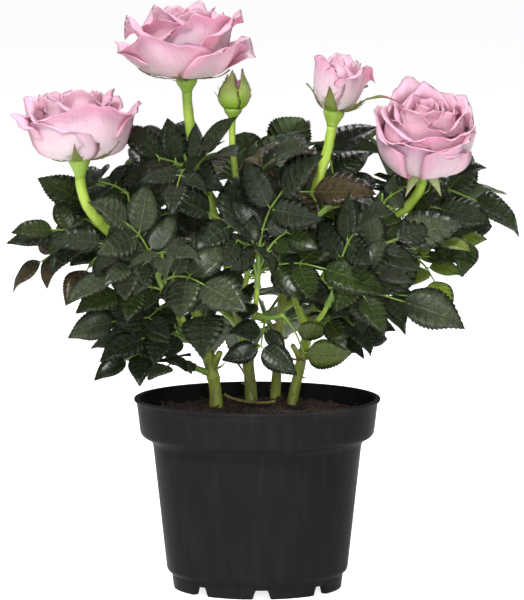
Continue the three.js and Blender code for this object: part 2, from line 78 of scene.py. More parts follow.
class Heap:
    """Gathers many small shapes, with a pair of surface coordinates a point, into the mesh of one piece."""

    def __init__(self):
        self.points, self.faces, self.marks, self.kinds, self.count = [], [], [], [], 0

    def add(self, points, faces, marks=None, kinds=0):
        points = np.asarray(points, float).reshape(-1, 3)
        self.points.append(points)
        self.marks.append(np.zeros((len(points), 2)) if marks is None else np.asarray(marks, float))
        self.faces += [tuple(i + self.count for i in face) for face in faces]
        self.kinds += [kinds] * len(faces) if isinstance(kinds, int) else list(kinds)
        self.count += len(points)

    def mesh(self, name, materials):
        made = bpy.data.meshes.new(name)
        made.from_pydata((np.vstack(self.points) * MM).tolist(), [], self.faces)
        marks = np.vstack(self.marks)
        corner = np.empty(len(made.loops), int)
        made.loops.foreach_get("vertex_index", corner)
        made.uv_layers.new(name="UVMap").data.foreach_set("uv", marks[corner].ravel())
        for material in materials:
            made.materials.append(material)
        made.polygons.foreach_set("material_index", self.kinds)
        made.polygons.foreach_set("use_smooth", [True] * len(made.polygons))
        made.validate()
        return made


def set_piece(mesh, nodes):
    """Puts a finished mesh in the scene as a piece of the plant's one body."""
    piece = bpy.data.objects.new(mesh.name, mesh)
    bpy.context.scene.collection.objects.link(piece)
    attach(piece, "root")
    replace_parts(piece, *nodes)
    return piece


def lerp(a, b, t):
    return a + (b - a) * t


def ease(low, high, x):
    t = np.clip((x - low) / (high - low), 0, 1)
    return t * t * (3 - 2 * t)


def rounded(outline, steps=4):
    """The outline with each corner (radius, height, rounding) but its two ends turned into a short curve."""
    made = []
    for i, (r, z, soft) in enumerate(outline):
        here = np.array((r, z), float)
        before = np.array(outline[i - 1][:2], float)
        after = np.array(outline[(i + 1) % len(outline)][:2], float)
        if i in (0, len(outline) - 1):
            made.append(here)
            continue
        first = here + (before - here) * min(0.45, soft / np.linalg.norm(before - here))
        last = here + (after - here) * min(0.45, soft / np.linalg.norm(after - here))
        for k in range(steps + 1):
            t = k / steps
            made.append((1 - t) ** 2 * first + 2 * t * (1 - t) * here + t * t * last)
    return np.array(made)


def ring_faces(rings, sides):
    """Quads between rings of points, each ring of so many sides."""
    faces = []
    for i in range(rings - 1):
        for j in range(sides):
            a, b = i * sides + j, i * sides + (j + 1) % sides
            faces.append((a, b, b + sides, a + sides))
    return faces


def lathe(outline, sides):
    outline = np.asarray(outline, float)
    turn = np.arange(sides) * 2 * math.pi / sides
    r, z = outline[:, 0, None], outline[:, 1, None]
    return np.stack([r * np.cos(turn), r * np.sin(turn), z + 0 * turn], axis=-1)


def paint(red, green, blue):
    """A colour as the eye reads it, 0 to 255, in the light-linear numbers that shaders use."""
    parts = [c / 255 for c in (red, green, blue)]
    return tuple(c / 12.92 if c <= 0.04045 else ((c + 0.055) / 1.055) ** 2.4 for c in parts) + (1,)


class Nodes:
    """A node tree under way, with a short way to add and link its nodes."""

    def node(self, kind, settings=None, **inputs):
        made = self.tree.nodes.new(kind)
        for key, value in (settings or {}).items():
            setattr(made, key, value)
        for label, value in inputs.items():
            self.feed(made.inputs[label.replace("_", " ")], value)
        return made

    def feed(self, socket, value):
        if isinstance(value, bpy.types.NodeSocket):
            self.tree.links.new(value, socket)
        else:
            socket.default_value = value


class Finish(Nodes):
    """A material in the making: its Principled shader, and what feeds it."""

    def __init__(self, name, **settings):
        self.material = bpy.data.materials.new(name)
        self.material.use_nodes = True
        self.tree = self.material.node_tree
        self.shader = self.tree.nodes["Principled BSDF"]
        for socket, value in settings.items():
            self.shader.inputs[socket.replace("_", " ")].default_value = value

    def grain(self, blotch, grain):
        """The surface's mottling, in two sizes: its Blotch and its Grain."""
        return SURFACE_GRAIN.placed_in(self, **{"Blotch scale": blotch, "Grain scale": grain})

    def maths(self, operation, *values):
        made = self.tree.nodes.new("ShaderNodeMath")
        made.operation = operation
        for socket, value in zip(made.inputs, values):
            self.feed(socket, value)
        return made.outputs[0]

    def times(self, first, second):
        return self.maths("MULTIPLY", first, second)

    def mix(self, share, first, second):
        made = self.node("ShaderNodeMix", {"data_type": "RGBA"})
        for socket, value in ((0, share), (6, first), (7, second)):
            self.feed(made.inputs[socket], value)
        return made.outputs[2]

    def span(self, value, low, high, to_low=0.0, to_high=1.0):
        made = self.node("ShaderNodeMapRange")
        for socket, given in enumerate((value, low, high, to_low, to_high)):
            self.feed(made.inputs[socket], given)
        return made.outputs[0]

    def noise(self, where, scale, detail=4.0, rough=0.55):
        return self.node("ShaderNodeTexNoise", Vector=where, Scale=scale, Detail=detail, Roughness=rough).outputs[0]

    def place(self):
        return self.node("ShaderNodeTexCoord").outputs["Object"]

    def stretched(self, where, scale):
        return self.node("ShaderNodeMapping", Vector=where, Scale=scale).outputs[0]

    def bump(self, height, strength, distance):
        made = self.node("ShaderNodeBump", Height=height, Strength=strength, Distance=distance)
        self.feed(self.shader.inputs["Normal"], made.outputs[0])

    def colour(self, value):
        self.feed(self.shader.inputs["Base Color"], value)

    def roughness(self, value):
        self.feed(self.shader.inputs["Roughness"], value)


class Effect(Finish):
    """A shader node group under way: a named effect that several materials place with their own values."""

    def __init__(self, name, inputs, outputs):
        self.tree = bpy.data.node_groups.new(name, "ShaderNodeTree")
        for label, value in inputs.items():
            socket = self.tree.interface.new_socket(name=label, in_out="INPUT", socket_type="NodeSocketFloat")
            socket.default_value = value
        for label in outputs:
            self.tree.interface.new_socket(name=label, in_out="OUTPUT", socket_type="NodeSocketFloat")
        self.given = self.tree.nodes.new("NodeGroupInput").outputs
        self.result = self.tree.nodes.new("NodeGroupOutput").inputs

    def placed_in(self, finish, **values):
        made = finish.tree.nodes.new("ShaderNodeGroup")
        made.node_tree = self.tree
        for label, value in values.items():
            made.inputs[label].default_value = value
        return made.outputs


def grain_effect():
    """Two sizes of mottling over a surface: Blotch changes slowly, Grain is fine."""
    grain = Effect("surface_grain", {"Blotch scale": 20.0, "Grain scale": 900.0}, ("Blotch", "Grain"))
    where = grain.place()
    grain.feed(grain.result["Blotch"], grain.noise(where, grain.given["Blotch scale"]))
    grain.feed(grain.result["Grain"], grain.noise(where, grain.given["Grain scale"], 3.0, 0.6))
    return grain


SURFACE_GRAIN = grain_effect()


def pot_plastic():
    plastic = Finish("pot_plastic", Roughness=0.4, Specular_IOR_Level=0.01)
    marks = plastic.grain(26.0, 1400.0)
    height = plastic.node("ShaderNodeSeparateXYZ", Vector=plastic.place()).outputs[2]
    flow = plastic.noise(plastic.stretched(plastic.place(), (1, 1, 0.05)), 240.0, 2.0)
    dust = plastic.times(plastic.span(height, *DUST_BAND), plastic.span(marks["Blotch"], 0.4, 0.7))
    black = plastic.mix(marks["Blotch"], paint(24, 23, 24), paint(30, 29, 30))
    black = plastic.mix(plastic.span(flow, 0.45, 0.75, 0.0, 0.35), black, paint(38, 37, 38))
    plastic.colour(plastic.mix(plastic.times(dust, 0.25), black, paint(84, 76, 70)))
    plastic.roughness(plastic.span(marks["Blotch"], 0.3, 0.7, 0.36, 0.46))
    plastic.bump(plastic.maths("ADD", marks["Grain"], plastic.times(flow, 0.5)), 0.12, 0.0004)
    return plastic.material


def notched(points):
    """Lifts the foot's lower edge to a short arch at each drainage notch."""
    r = np.hypot(points[..., 0], points[..., 1])
    pitch = 2 * math.pi / NOTCHES
    bearing = np.arctan2(points[..., 1], points[..., 0]) - math.radians(NOTCH_TURN - 90)
    off = np.abs((bearing + pitch / 2) % pitch - pitch / 2) * r
    lift = NOTCH_HEIGHT * (1 - ease(NOTCH_HALF - NOTCH_SIDE, NOTCH_HALF, off)) * (r > RING_INSIDE)
    z = points[..., 2]
    top = np.where(r < RING_EDGE, FLOOR_UNDER, RING_TOP)
    low = z < top
    points[..., 2] = np.where(low, lift + z * (top - lift) / top, z)
    return points


def make_pot():
    heap = Heap()
    wall = notched(lathe(rounded(POT_OUTLINE), POT_SIDES))
    rings = np.concatenate([lathe(POT_UNDERSIDE, POT_SIDES)[::-1], wall, lathe(POT_FLOOR, POT_SIDES)])
    heap.add(rings, ring_faces(*rings.shape[:2]))
    return set_piece(heap.mesh("pot_wall", [pot_plastic()]), ["pot"])


make_pot()


# ---- Soil ----
# Dark peat compost, damp and open, pressed a little lower at the wall. Crumbs and short bleached fibres lie loose on
# its top, thrown over the bed by Geometry Nodes.
SOIL_TOP = 88
SOIL_EDGE = 85
SOIL_SETTLED = 0.6
SOIL_FLAT = 30
SOIL_RADIUS = 55.2
SOIL_RINGS = 70
SOIL_SIDES = 220
SOIL_UNDERSIDE = ((54.6, 79), (48.9, 72.5), (42, 9.4), (40.6, 6.4), (0.02, 6.4))
LUMP_PITCH, LUMP_SEED, LUMP_HEIGHT = 0.16, 3.7, 1.5
OPEN_RADIUS, OPEN_HEIGHT = 52.5, 80  # crumbs and fibres lie inside this radius and above this height
CRUMB_DENSITY = 330000.0
CRUMB_SHAPES = ((0.6, 0.6, 0.4), (1.5, 1.1, 0.9))  # the least and the most that a crumb is stretched each way
FIBRE_DENSITY = 9000.0
FIBRE_BOW, FIBRE_THICK = 2.2, 0.1  # the radii of its curve and of its section


def peat(name, dark, light):
    soil = Finish(name, Roughness=0.8)
    marks = soil.grain(120.0, 1100.0)
    brown = soil.mix(soil.span(marks["Blotch"], 0.35, 0.65), dark, light)
    soil.colour(soil.mix(soil.span(marks["Grain"], 0.55, 0.8, 0.0, 0.5), brown, paint(98, 70, 52)))
    soil.bump(marks["Grain"], 0.6, 0.001)
    return soil.material


def soil_height(x, y):
    r = math.hypot(x, y)
    lumps = noise.fractal(Vector((x * LUMP_PITCH, y * LUMP_PITCH, LUMP_SEED)), 0.8, 2.0, 4) * LUMP_HEIGHT
    fall = (SOIL_TOP - SOIL_EDGE) * float(ease(SOIL_FLAT, SOIL_RADIUS, r))
    return SOIL_TOP - SOIL_SETTLED - fall + lumps


def make_soil():
    heap = Heap()
    top = lathe([(max(0.02, SOIL_RADIUS * i / (SOIL_RINGS - 1)), 0) for i in range(SOIL_RINGS)], SOIL_SIDES)
    for place in top.reshape(-1, 3):
        place[2] = soil_height(*place[:2])
    rings = np.concatenate([top, lathe(SOIL_UNDERSIDE, SOIL_SIDES)])[::-1]
    heap.add(rings, ring_faces(*rings.shape[:2]))
    return set_piece(heap.mesh("soil_bed", [peat("peat", paint(20, 12, 10), paint(36, 23, 18))]), ["soil"])


class Scatter(Nodes):
    """A Geometry Nodes tree under way that throws a small shape over the upward faces of a surface."""

    def __init__(self, name, **inputs):
        self.tree = bpy.data.node_groups.new(name, "GeometryNodeTree")
        self.tree.interface.new_socket(name="Geometry", in_out="INPUT", socket_type="NodeSocketGeometry")
        self.values = []
        for label, value in inputs.items():
            kind = "NodeSocketInt" if isinstance(value, int) else "NodeSocketFloat"
            socket = self.tree.interface.new_socket(name=label, in_out="INPUT", socket_type=kind)
            self.values.append((socket.identifier, value))
        self.tree.interface.new_socket(name="Geometry", in_out="OUTPUT", socket_type="NodeSocketGeometry")
        self.given = self.tree.nodes.new("NodeGroupInput").outputs
        self.result = self.tree.nodes.new("NodeGroupOutput").inputs

    def random(self, kind, low, high, seed):
        made = self.node("FunctionNodeRandomValue", {"data_type": kind})
        given = {"Min": low, "Max": high, "Seed": seed}
        for socket in made.inputs:
            if socket.enabled and socket.name in given:
                self.feed(socket, given[socket.name])
        return next(o for o in made.outputs if o.enabled)

    def over(self, name, surface, material, shape, chosen, turn, scale):
        """Finishes the tree, runs it over a copy of surface and gives back the plain mesh.

        Where no turn is given, each shape stands out of the surface."""
        points = self.node("GeometryNodeDistributePointsOnFaces", Mesh=self.given["Geometry"],
                           Density=self.given["Density"], Seed=self.given["Seed"], Selection=chosen)
        spread = self.node("GeometryNodeInstanceOnPoints", Points=points.outputs["Points"], Instance=shape,
                           Rotation=turn or points.outputs["Rotation"], Scale=scale)
        real = self.node("GeometryNodeRealizeInstances", Geometry=spread.outputs[0])
        painted = self.node("GeometryNodeSetMaterial", Geometry=real.outputs[0], Material=material)
        self.tree.links.new(painted.outputs[0], self.result[0])
        ground = bpy.data.objects.new("ground", surface)
        bpy.context.scene.collection.objects.link(ground)
        modifier = ground.modifiers.new("scatter", "NODES")
        modifier.node_group = self.tree
        for identifier, value in self.values:
            modifier[identifier] = value
        evaluated = ground.evaluated_get(bpy.context.evaluated_depsgraph_get())
        mesh = bpy.data.meshes.new_from_object(evaluated)
        mesh.name = name
        bpy.data.objects.remove(ground)
        return mesh


def upward(scatter):
    """The open top of the bed: faces above its edge and inside the pot's wall."""
    place = scatter.node("GeometryNodeInputPosition").outputs[0]
    parts = scatter.node("ShaderNodeSeparateXYZ", Vector=place).outputs
    level = scatter.node("ShaderNodeCombineXYZ", X=parts[0], Y=parts[1]).outputs[0]
    run = scatter.node("ShaderNodeVectorMath", {"operation": "LENGTH"}, Vector=level).outputs["Value"]
    both = scatter.node("FunctionNodeBooleanMath", {"operation": "AND"})
    tests = (("LESS_THAN", run, OPEN_RADIUS), ("GREATER_THAN", parts[2], OPEN_HEIGHT))
    for socket, (test, value, bound) in zip(both.inputs, tests):
        passed = scatter.node("FunctionNodeCompare", {"data_type": "FLOAT", "operation": test}, A=value, B=bound * MM)
        scatter.feed(socket, passed.outputs[0])
    return both.outputs[0]


def scatter_crumbs(bed):
    crumbs = Scatter("crumbs", Density=CRUMB_DENSITY, Seed=5, Smallest=0.3, Largest=1.5)
    ball = crumbs.node("GeometryNodeMeshIcoSphere", Radius=MM, Subdivisions=1).outputs[0]
    size = crumbs.random("FLOAT", crumbs.given["Smallest"], crumbs.given["Largest"], 1)
    flat = crumbs.random("FLOAT_VECTOR", *CRUMB_SHAPES, 2)
    scaled = crumbs.node("ShaderNodeVectorMath", {"operation": "SCALE"}, Vector=flat, Scale=size).outputs[0]
    turn = crumbs.random("FLOAT_VECTOR", (0, 0, 0), (6.3, 6.3, 6.3), 3)
    brown = peat("crumb_peat", paint(22, 13, 11), paint(54, 34, 28))
    mesh = crumbs.over("soil_crumbs", bed.data, brown, ball, upward(crumbs), turn, scaled)
    return set_piece(mesh, ["soil"])


def scatter_fibres(bed):
    fibres = Scatter("fibres", Density=FIBRE_DENSITY, Seed=9, Shortest=1.0, Longest=2.6)
    line = fibres.node("GeometryNodeCurveArc", Radius=FIBRE_BOW * MM, Resolution=5).outputs[0]
    section = fibres.node("GeometryNodeCurvePrimitiveCircle", Resolution=3, Radius=FIBRE_THICK * MM).outputs[0]
    hair = fibres.node("GeometryNodeCurveToMesh", Curve=line, Profile_Curve=section, Fill_Caps=True).outputs[0]
    size = fibres.random("FLOAT", fibres.given["Shortest"], fibres.given["Longest"], 1)
    turn = fibres.random("FLOAT_VECTOR", (-0.5, -0.5, 0), (0.5, 0.5, 6.3), 3)
    straw = Finish("fibre_straw", Roughness=0.8)
    marks = straw.grain(300.0, 1500.0)
    straw.colour(straw.mix(straw.span(marks["Blotch"], 0.35, 0.65), paint(58, 38, 28), paint(112, 84, 62)))
    mesh = fibres.over("soil_fibres", bed.data, straw.material, hair, upward(fibres), turn, size)
    return set_piece(mesh, ["soil"])


soil_bed = make_soil()
scatter_crumbs(soil_bed)
scatter_fibres(soil_bed)


# ---- Canes, boughs and stems ----
# Canes of soft green wood with a thin bark that browns in streaks, and the brighter flower stems and side shoots that
# grow on from them, swollen where each joins. Prickles sit on the canes and, smaller, under the blooms.
CLEAR = 0.3
CANES = (  # name, foot and tip, the bearing and rise it sets off along and comes in along, its girth at either end
    ("cane_left", (-20, 6), (-29, 2, 132), (120, 84), (160, 72), (6, 5.2)),
    ("cane_middle", (-3, 22), (-14, 10, 154), (120, 86), (215, 76), (5.8, 4.8)),
    ("cane_right", (17, 14), (31, 8, 146), (10, 78), (0, 74), (5, 4.4)),
    ("cane_back", (9, 37), (14, 46, 150), (60, 84), (70, 70), (4.8, 4)),
)
SHOOTS = (  # name, the limb it grows on and the share of it where it leaves, and then as above
    ("stem_left", "cane_left", 1, (-85, -25, 203), None, (150, 87), (4, 5)),
    ("stem_top", "cane_middle", 1, (-34, 0, 242), None, (180, 88), (4, 4.9)),
    ("stem_right", "cane_right", 1, (80, -12, 203), None, (272, 62), (3.8, 4.7)),
    ("stem_half_open", "cane_right", 0.62, (36, -10, 226), (215, 62), (0, 82), (3.6, 4.9)),
    ("stem_green_bud", "cane_middle", 0.7, (-12, -5, 229), (300, 58), (35, 86), (2.6, 3.2)),
    ("bough_left_outer", "cane_left", 0.72, (-58, -4, 160), (178, 36), (180, 34), (3, 2.4)),
    ("bough_left_front", "cane_left", 0.5, (-42, -32, 146), (232, 44), (235, 46), (2.8, 2.2)),
    ("bough_front", "cane_middle", 0.45, (0, -24, 150), (285, 34), (275, 54), (2.8, 2.2)),
    ("bough_right_front", "cane_right", 0.45, (34, -28, 142), (280, 44), (290, 44), (2.8, 2.2)),
    ("bough_right_outer", "cane_right", 0.78, (70, 0, 160), (350, 22), (0, 34), (3, 2.4)),
    ("bough_back_left", "cane_middle", 0.55, (-44, 42, 152), (140, 34), (135, 40), (2.8, 2.2)),
    ("bough_back_right", "cane_back", 0.7, (54, 50, 152), (20, 30), (20, 36), (2.8, 2.2)),
)
LIMB_PULL = 0.38  # how far a limb runs straight at its two ends, as a share of their distance
CANE_SUNK, CANE_FLARE, CANE_FADE = 7.0, 1.12, 12.0  # how deep a cane's foot stands, its swelling and that one's run
TIP_SUNK, TIP_FADE = 0.6, 9.0  # the same of a shoot that grows on from a limb's tip
SIDE_FLARE, SIDE_FADE = 1.5, 3.0  # and of one that leaves its side
NODES = (0.3, 0.52, 0.74)  # where a limb thickens along its length, by NODE_SWELL over NODE_REACH to either side
NODE_SWELL, NODE_REACH = 0.16, 1.6
BARK_SIDES = 18
BARK_STEP = 1.6
END_CAP = 0.4  # how far a tube's rounded end stands out, as a share of its radius
RIDGES, PITS = (2.2, 0.09, 0.11), (3.5, 0.45, 0.1)  # how close they lie round the bark and along it, and their depth
PRICKLE = {"tip": 0.04, "foot": 0.55, "length": 2.0}
limbs = {}


def heading(bearing, rise):
    b, r = math.radians(bearing), math.radians(rise)
    return Vector((math.cos(b) * math.cos(r), math.sin(b) * math.cos(r), math.sin(r)))


class Bend:
    """A smooth curve through four control points, as a cubic."""

    def __init__(self, a, b, c, d):
        self.knots = [Vector(p) for p in (a, b, c, d)]

    def point(self, t):
        a, b, c, d = self.knots
        s = 1 - t
        return a * s**3 + b * (3 * s * s * t) + c * (3 * s * t * t) + d * t**3

    def tangent(self, t):
        a, b, c, d = self.knots
        s = 1 - t
        return ((b - a) * (3 * s * s) + (c - b) * (6 * s * t) + (d - c) * (3 * t * t)).normalized()

    def runs(self, steps):
        """How far along the curve each of so many steps of its parameter comes."""
        marks = [self.point(i / steps) for i in range(steps + 1)]
        return np.cumsum([0] + [(q - p).length for p, q in zip(marks, marks[1:])])

    def along(self, share, steps=200):
        """The point at a share of the curve's length."""
        runs = self.runs(steps)
        return self.point(float(np.interp(share * runs[-1], runs, np.arange(steps + 1) / steps)))


def swept(heap, path, radii, sides, kinds=0, relief=None):
    """A closed tube along a list of points, with rounded ends and its relief as a share of the radius."""
    path = [Vector(p) for p in path]
    tangents = [(path[min(i + 1, len(path) - 1)] - path[max(i - 1, 0)]).normalized() for i in range(len(path))]
    side = tangents[0].orthogonal().normalized()
    rings, marks, run = [], [], 0.0
    for i, (centre, tangent) in enumerate(zip(path, tangents)):
        side = (side - tangent * side.dot(tangent)).normalized()
        up = tangent.cross(side)
        run += (centre - path[i - 1]).length if i else 0
        for j in range(sides):
            a = 2 * math.pi * j / sides
            radius = radii[i] * (1 + (relief(run, a) if relief else 0))
            rings.append(centre + side * (radius * math.cos(a)) + up * (radius * math.sin(a)))
            marks.append((j / sides, run * 0.1))
    last = len(path) - 1
    faces = ring_faces(len(path), sides)
    rings += [path[0] - tangents[0] * radii[0] * END_CAP, path[last] + tangents[last] * radii[last] * END_CAP]
    marks += [(0.5, 0), (0.5, run * 0.1)]
    foot, tip, top = len(path) * sides, len(path) * sides + 1, last * sides
    faces += [(foot, (j + 1) % sides, j) for j in range(sides)]
    faces += [(tip, top + j, top + (j + 1) % sides) for j in range(sides)]
    heap.add([tuple(p) for p in rings], faces, marks, kinds)


def bark_relief(seed):
    """Low ridges along the bark, and small scars where leaves have been."""

    def relief(run, a):
        parts = []
        for k, (around, lengthwise, depth) in enumerate((RIDGES, PITS)):
            place = Vector((math.cos(a) * around, math.sin(a) * around, run * lengthwise + (k + 1) * seed))
            parts.append(depth * noise.noise(place))
        return sum(parts)

    return relief


def grow_limb(heap, name, on, at, start, tip, sets, ends, girth):
    end = Vector(tip)
    parent = limbs.get(on)
    start = parent["curve"].point(at) if parent else Vector((*start, SOIL_TOP + CLEAR))
    away = heading(*sets) if sets else parent["curve"].tangent(1)
    sunk, flare, fade = CANE_SUNK, CANE_FLARE, CANE_FADE
    if parent:
        along = abs(away.dot(parent["curve"].tangent(at)))
        across = math.sqrt(max(0.0, 1 - along * along))
        radius = parent["radius"](at)
        off = CLEAR if at == 1 else (radius + CLEAR + girth[0] / 2 * along) / across
        start = start + away * off
        onward = (off + TIP_SUNK, radius * 2 / girth[0], TIP_FADE)
        sunk, flare, fade = onward if at == 1 else (off, SIDE_FLARE, SIDE_FADE)
    pull = LIMB_PULL * (start - end).length
    curve = Bend(start, start + away * pull, end - heading(*ends) * pull, end)
    limbs[name] = {"curve": curve, "radius": lambda t: lerp(*girth, t) / 2}
    length = float(curve.runs(60)[-1])
    steps = max(8, int(length / BARK_STEP))
    shares = [i / steps for i in range(steps + 1)]
    path = [start - away * sunk] + [curve.point(t) for t in shares]
    radii = [girth[0] / 2 * flare]
    for t in shares:
        swell = 1 + (flare - 1) * max(0.0, 1 - t * length / fade)
        joint = sum(NODE_SWELL * math.exp(-(((t - k) * length / NODE_REACH) ** 2)) for k in NODES)
        radii.append(lerp(*girth, t) / 2 * (swell + joint))
    swept(heap, path, radii, BARK_SIDES, relief=bark_relief(len(limbs)))


def bark(name, fresh, aged, worn, streaks):
    """Green bark with long streaks of an older colour and pale breathing spots."""
    skin = Finish(name, Roughness=0.42, Specular_IOR_Level=0.45)
    marks = skin.grain(60.0, 1300.0)
    streak = skin.noise(skin.stretched(skin.place(), (1, 1, 0.12)), 420.0, 3.0)
    green = skin.mix(skin.span(marks["Blotch"], 0.35, 0.65), fresh, aged)
    green = skin.mix(skin.span(streak, 0.5, 0.8, 0.0, streaks), green, worn)
    skin.colour(skin.mix(skin.span(marks["Grain"], 0.68, 0.76, 0.0, 0.4), green, paint(176, 170, 120)))
    skin.roughness(skin.span(marks["Blotch"], 0.3, 0.7, 0.36, 0.55))
    skin.bump(skin.maths("ADD", streak, skin.times(marks["Grain"], 0.6)), 0.6, 0.0008)
    return skin.material


CANE_BARK = bark("cane_bark", paint(140, 154, 58), paint(98, 112, 44), paint(104, 78, 50), 1.0)
STEM_BARK = bark("stem_bark", paint(152, 178, 62), paint(128, 158, 52), paint(140, 130, 64), 0.3)


def make_limbs():
    canes, stems = Heap(), Heap()
    for name, foot, *course in CANES:
        grow_limb(canes, name, None, 1, foot, *course)
    for name, on, at, *course in SHOOTS:
        grow_limb(stems, name, on, at, None, *course)
    return (set_piece(canes.mesh("canes_bark", [CANE_BARK]), [name for name, *_ in CANES]),
            set_piece(stems.mesh("stems_bark", [STEM_BARK]), [name for name, *_ in SHOOTS]))


def scatter_prickles(name, limb, material, density, longest, seed):
    prickles = Scatter(name + "_rule", Density=density, Seed=seed, Longest=longest)
    cone = prickles.node("GeometryNodeMeshCone", Vertices=6, Side_Segments=2, Radius_Top=PRICKLE["tip"] * MM,
                         Radius_Bottom=PRICKLE["foot"] * MM, Depth=PRICKLE["length"] * MM).outputs["Mesh"]
    size = prickles.random("FLOAT", 0.5, prickles.given["Longest"], 1)
    everywhere = prickles.node("FunctionNodeInputBool", {"boolean": True}).outputs[0]
    mesh = prickles.over(name, limb.data, material, cone, everywhere, None, size)
    return set_piece(mesh, limb["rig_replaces"])


canes_bark, stems_bark = make_limbs()
PRICKLE_WOOD = bark("prickle_wood", paint(150, 130, 74), paint(128, 84, 60), paint(110, 60, 48), 0.6)
scatter_prickles("cane_prickles", canes_bark, PRICKLE_WOOD, 7000.0, 1.3, 4)
scatter_prickles("stem_prickles", stems_bark, PRICKLE_WOOD, 1500.0, 0.8, 6)


# ---- Stubs and dead twigs ----
# Side shoots pruned back to a short stub with a ragged end and dry brown scales about its foot, and two dead twigs
# that lie on the soil and lean on the canes. Old wood, dull and cracked.
STUBS = [  # its cane, the share of the cane where it leaves, its bearing, length and girth
    ("cane_left", 0.4, 300, 9, 3.4), ("cane_left", 0.62, 250, 12, 3.0), ("cane_middle", 0.3, 320, 7, 3.0),
    ("cane_right", 0.36, 230, 8, 2.8), ("cane_back", 0.45, 90, 8, 2.8),
]
STUB_RISE = 48
STUB_GIRTHS = (0.62, 0.6, 0.5, 0.46)
SCALES_AT_STUB = 5
SPLINTERS_AT_STUB = 4
DEAD_TWIGS = [  # four points of its curve, and its girth
    (((-16, 2, 94), (-9, -2, 90.5), (2, -6, 90.2), (9, -8, 92)), 1.3),
    (((-1, -5, 90.6), (-2, -6, 98), (-6, -8, 108), (-13, -6, 114)), 1.0),
]
DEAD_TWIG_STEPS = 16


def from_place(low, high, k):
    """A value between low and high that depends on those two and on k alone."""
    return lerp(low, high, noise.cell(Vector((k * 1.7 + 0.3, low * 0.9, high * 1.3))))


def make_stubs():
    heap = Heap()
    for k, (name, share, bearing, length, girth) in enumerate(STUBS):
        limb = limbs[name]
        root, wide = limb["curve"].point(share), limb["radius"](share)
        away = heading(bearing, STUB_RISE)
        tip = root + away * (wide + length)
        swept(heap, [root, root + away * wide, root + away * (wide + 0.6 * length), tip],
              [girth * share_of for share_of in STUB_GIRTHS], 12, relief=bark_relief(40 + k))
        for j in range(SCALES_AT_STUB):
            turn = bearing + 360 / SCALES_AT_STUB * j
            side = heading(turn + from_place(-20, 20, 9 * k + j), from_place(30, 70, 5 * k + j))
            run = from_place(3.5, 7.5, 7 * k + 3 * j)
            foot = root + heading(turn, 0) * wide * 0.8
            swept(heap, [foot, foot + side * run * 0.5, foot + side * run + Vector((0, 0, run * 0.3))],
                  [0.8, 0.5, 0.08], 6, kinds=1)
        for j in range(SPLINTERS_AT_STUB):
            ragged = tip + heading(90 * j + from_place(0, 60, j + k), 20) * girth * 0.34
            end = ragged + away * from_place(0.8, 2.4, j + 4 * k)
            swept(heap, [ragged, end], [girth * 0.14, 0.08], 5, kinds=1)
    for points, girth in DEAD_TWIGS:
        curve = Bend(*points)
        steps = range(DEAD_TWIG_STEPS + 1)
        swept(heap, [curve.point(i / DEAD_TWIG_STEPS) for i in steps],
              [girth / 2 * (1 + 0.25 * (i % 5 == 0)) for i in steps], 8, kinds=1)
    dry = bark("dry_bark", paint(122, 120, 62), paint(96, 84, 50), paint(74, 54, 40), 1.0)
    return set_piece(heap.mesh("stubs_and_twigs", [CANE_BARK, dry]), canes_bark["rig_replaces"])


make_stubs()


# ---- Roses and buds ----
# Each bloom stands on a green hip at its stem's end, over five whiskered sepals. Its petals grow from the hip in
# rings, each petal a thin cupped sheet whose rim rolls out, paler outside and deeper pink towards the heart. That
# deeper pink, on the heart's petals and at the foot of the inner faces, is partly the petals' own tone and partly
# painted shade down in the cup. The cream at the outer faces' foot reaches far up and is partly their own pale base
# and partly a painted lift of their shaded lower half.
PETAL_GRID = (20, 18)  # rows up the petal and columns across it
PETAL_HALF_THICK = 0.17
PETAL_WIDTHS = (0.2, 0.5, 0.78, 0.95, 1.0, 0.94, 0.66)
SEPAL_WIDTHS = (0.7, 1.0, 0.78, 0.36, 0.04)
GOLDEN_TURN = 137.5
OUTER, MIDDLE, HEART = (0, 1), (2, 1), (2, 3)  # finishes of a petal's outer and inner face
# The deep pink foot of the inner, middle and heart faces, and the heart face's deeper pink, are partly painted shade
# in the cup. The outer face's cream foot is partly a painted lift of its shaded lower half.
PETAL_SKINS = (  # name, foot, body, a second tone of it, rim, and how much of the foot's colour shows
    ("petal_outer_face_lit_foot", (230, 202, 198), (206, 154, 172), (198, 138, 160), (184, 94, 130), 0.8),
    ("petal_inner_face_shade_at_foot", (216, 112, 142), (231, 180, 197), (227, 167, 187), (208, 130, 162), 0.9),
    ("petal_middle_face_shade_at_foot", (214, 112, 142), (227, 181, 195), (222, 168, 184), (206, 130, 160), 0.85),
    ("petal_heart_face_and_shade", (208, 86, 124), (232, 164, 188), (228, 150, 178), (212, 128, 162), 0.9),
)
SEPAL_SKINS = (  # name, foot, body, a second tone of it and rim
    ("sepal_inner_face", (150, 160, 112), (150, 160, 112), (136, 148, 96), (150, 110, 90)),
    ("sepal_outer_face", (100, 124, 44), (84, 96, 44), (104, 88, 56), (124, 78, 58)),
    ("bud_sepal_face", (122, 156, 42), (122, 132, 74), (150, 154, 104), (140, 84, 72)),
)
HIP_SIDES = 28
SEPALS = 5
SEPAL_GRID = (12, 6)
SEPAL_LENGTHS = (0.85, 0.25)  # the least share of its length that a sepal grows to, and how much more it may
TAIL_SLOPES = (4, 20, 22, 20, 20)  # how much further the sepal with a tail turns outward
WHISKER_SHARES = (0.34, 0.5, 0.66)
WHISKER_RADII = (0.32, 0.3, 0.2, 0.07)
WHISKER_LENGTH = (1.6, 2.6)
TAIL_STEPS, TAIL_STEP = 9, 1.7
TAIL_DRIFT, TAIL_CURL = Vector((0.12, 0, 0.06)), Vector((0.05, 0, -0.2))  # how each step turns from the one before
TAIL_RADII = (0.5, 0.55, 0.7, 0.75, 0.7, 0.6, 0.5, 0.42, 0.34, 0.24, 0.12)
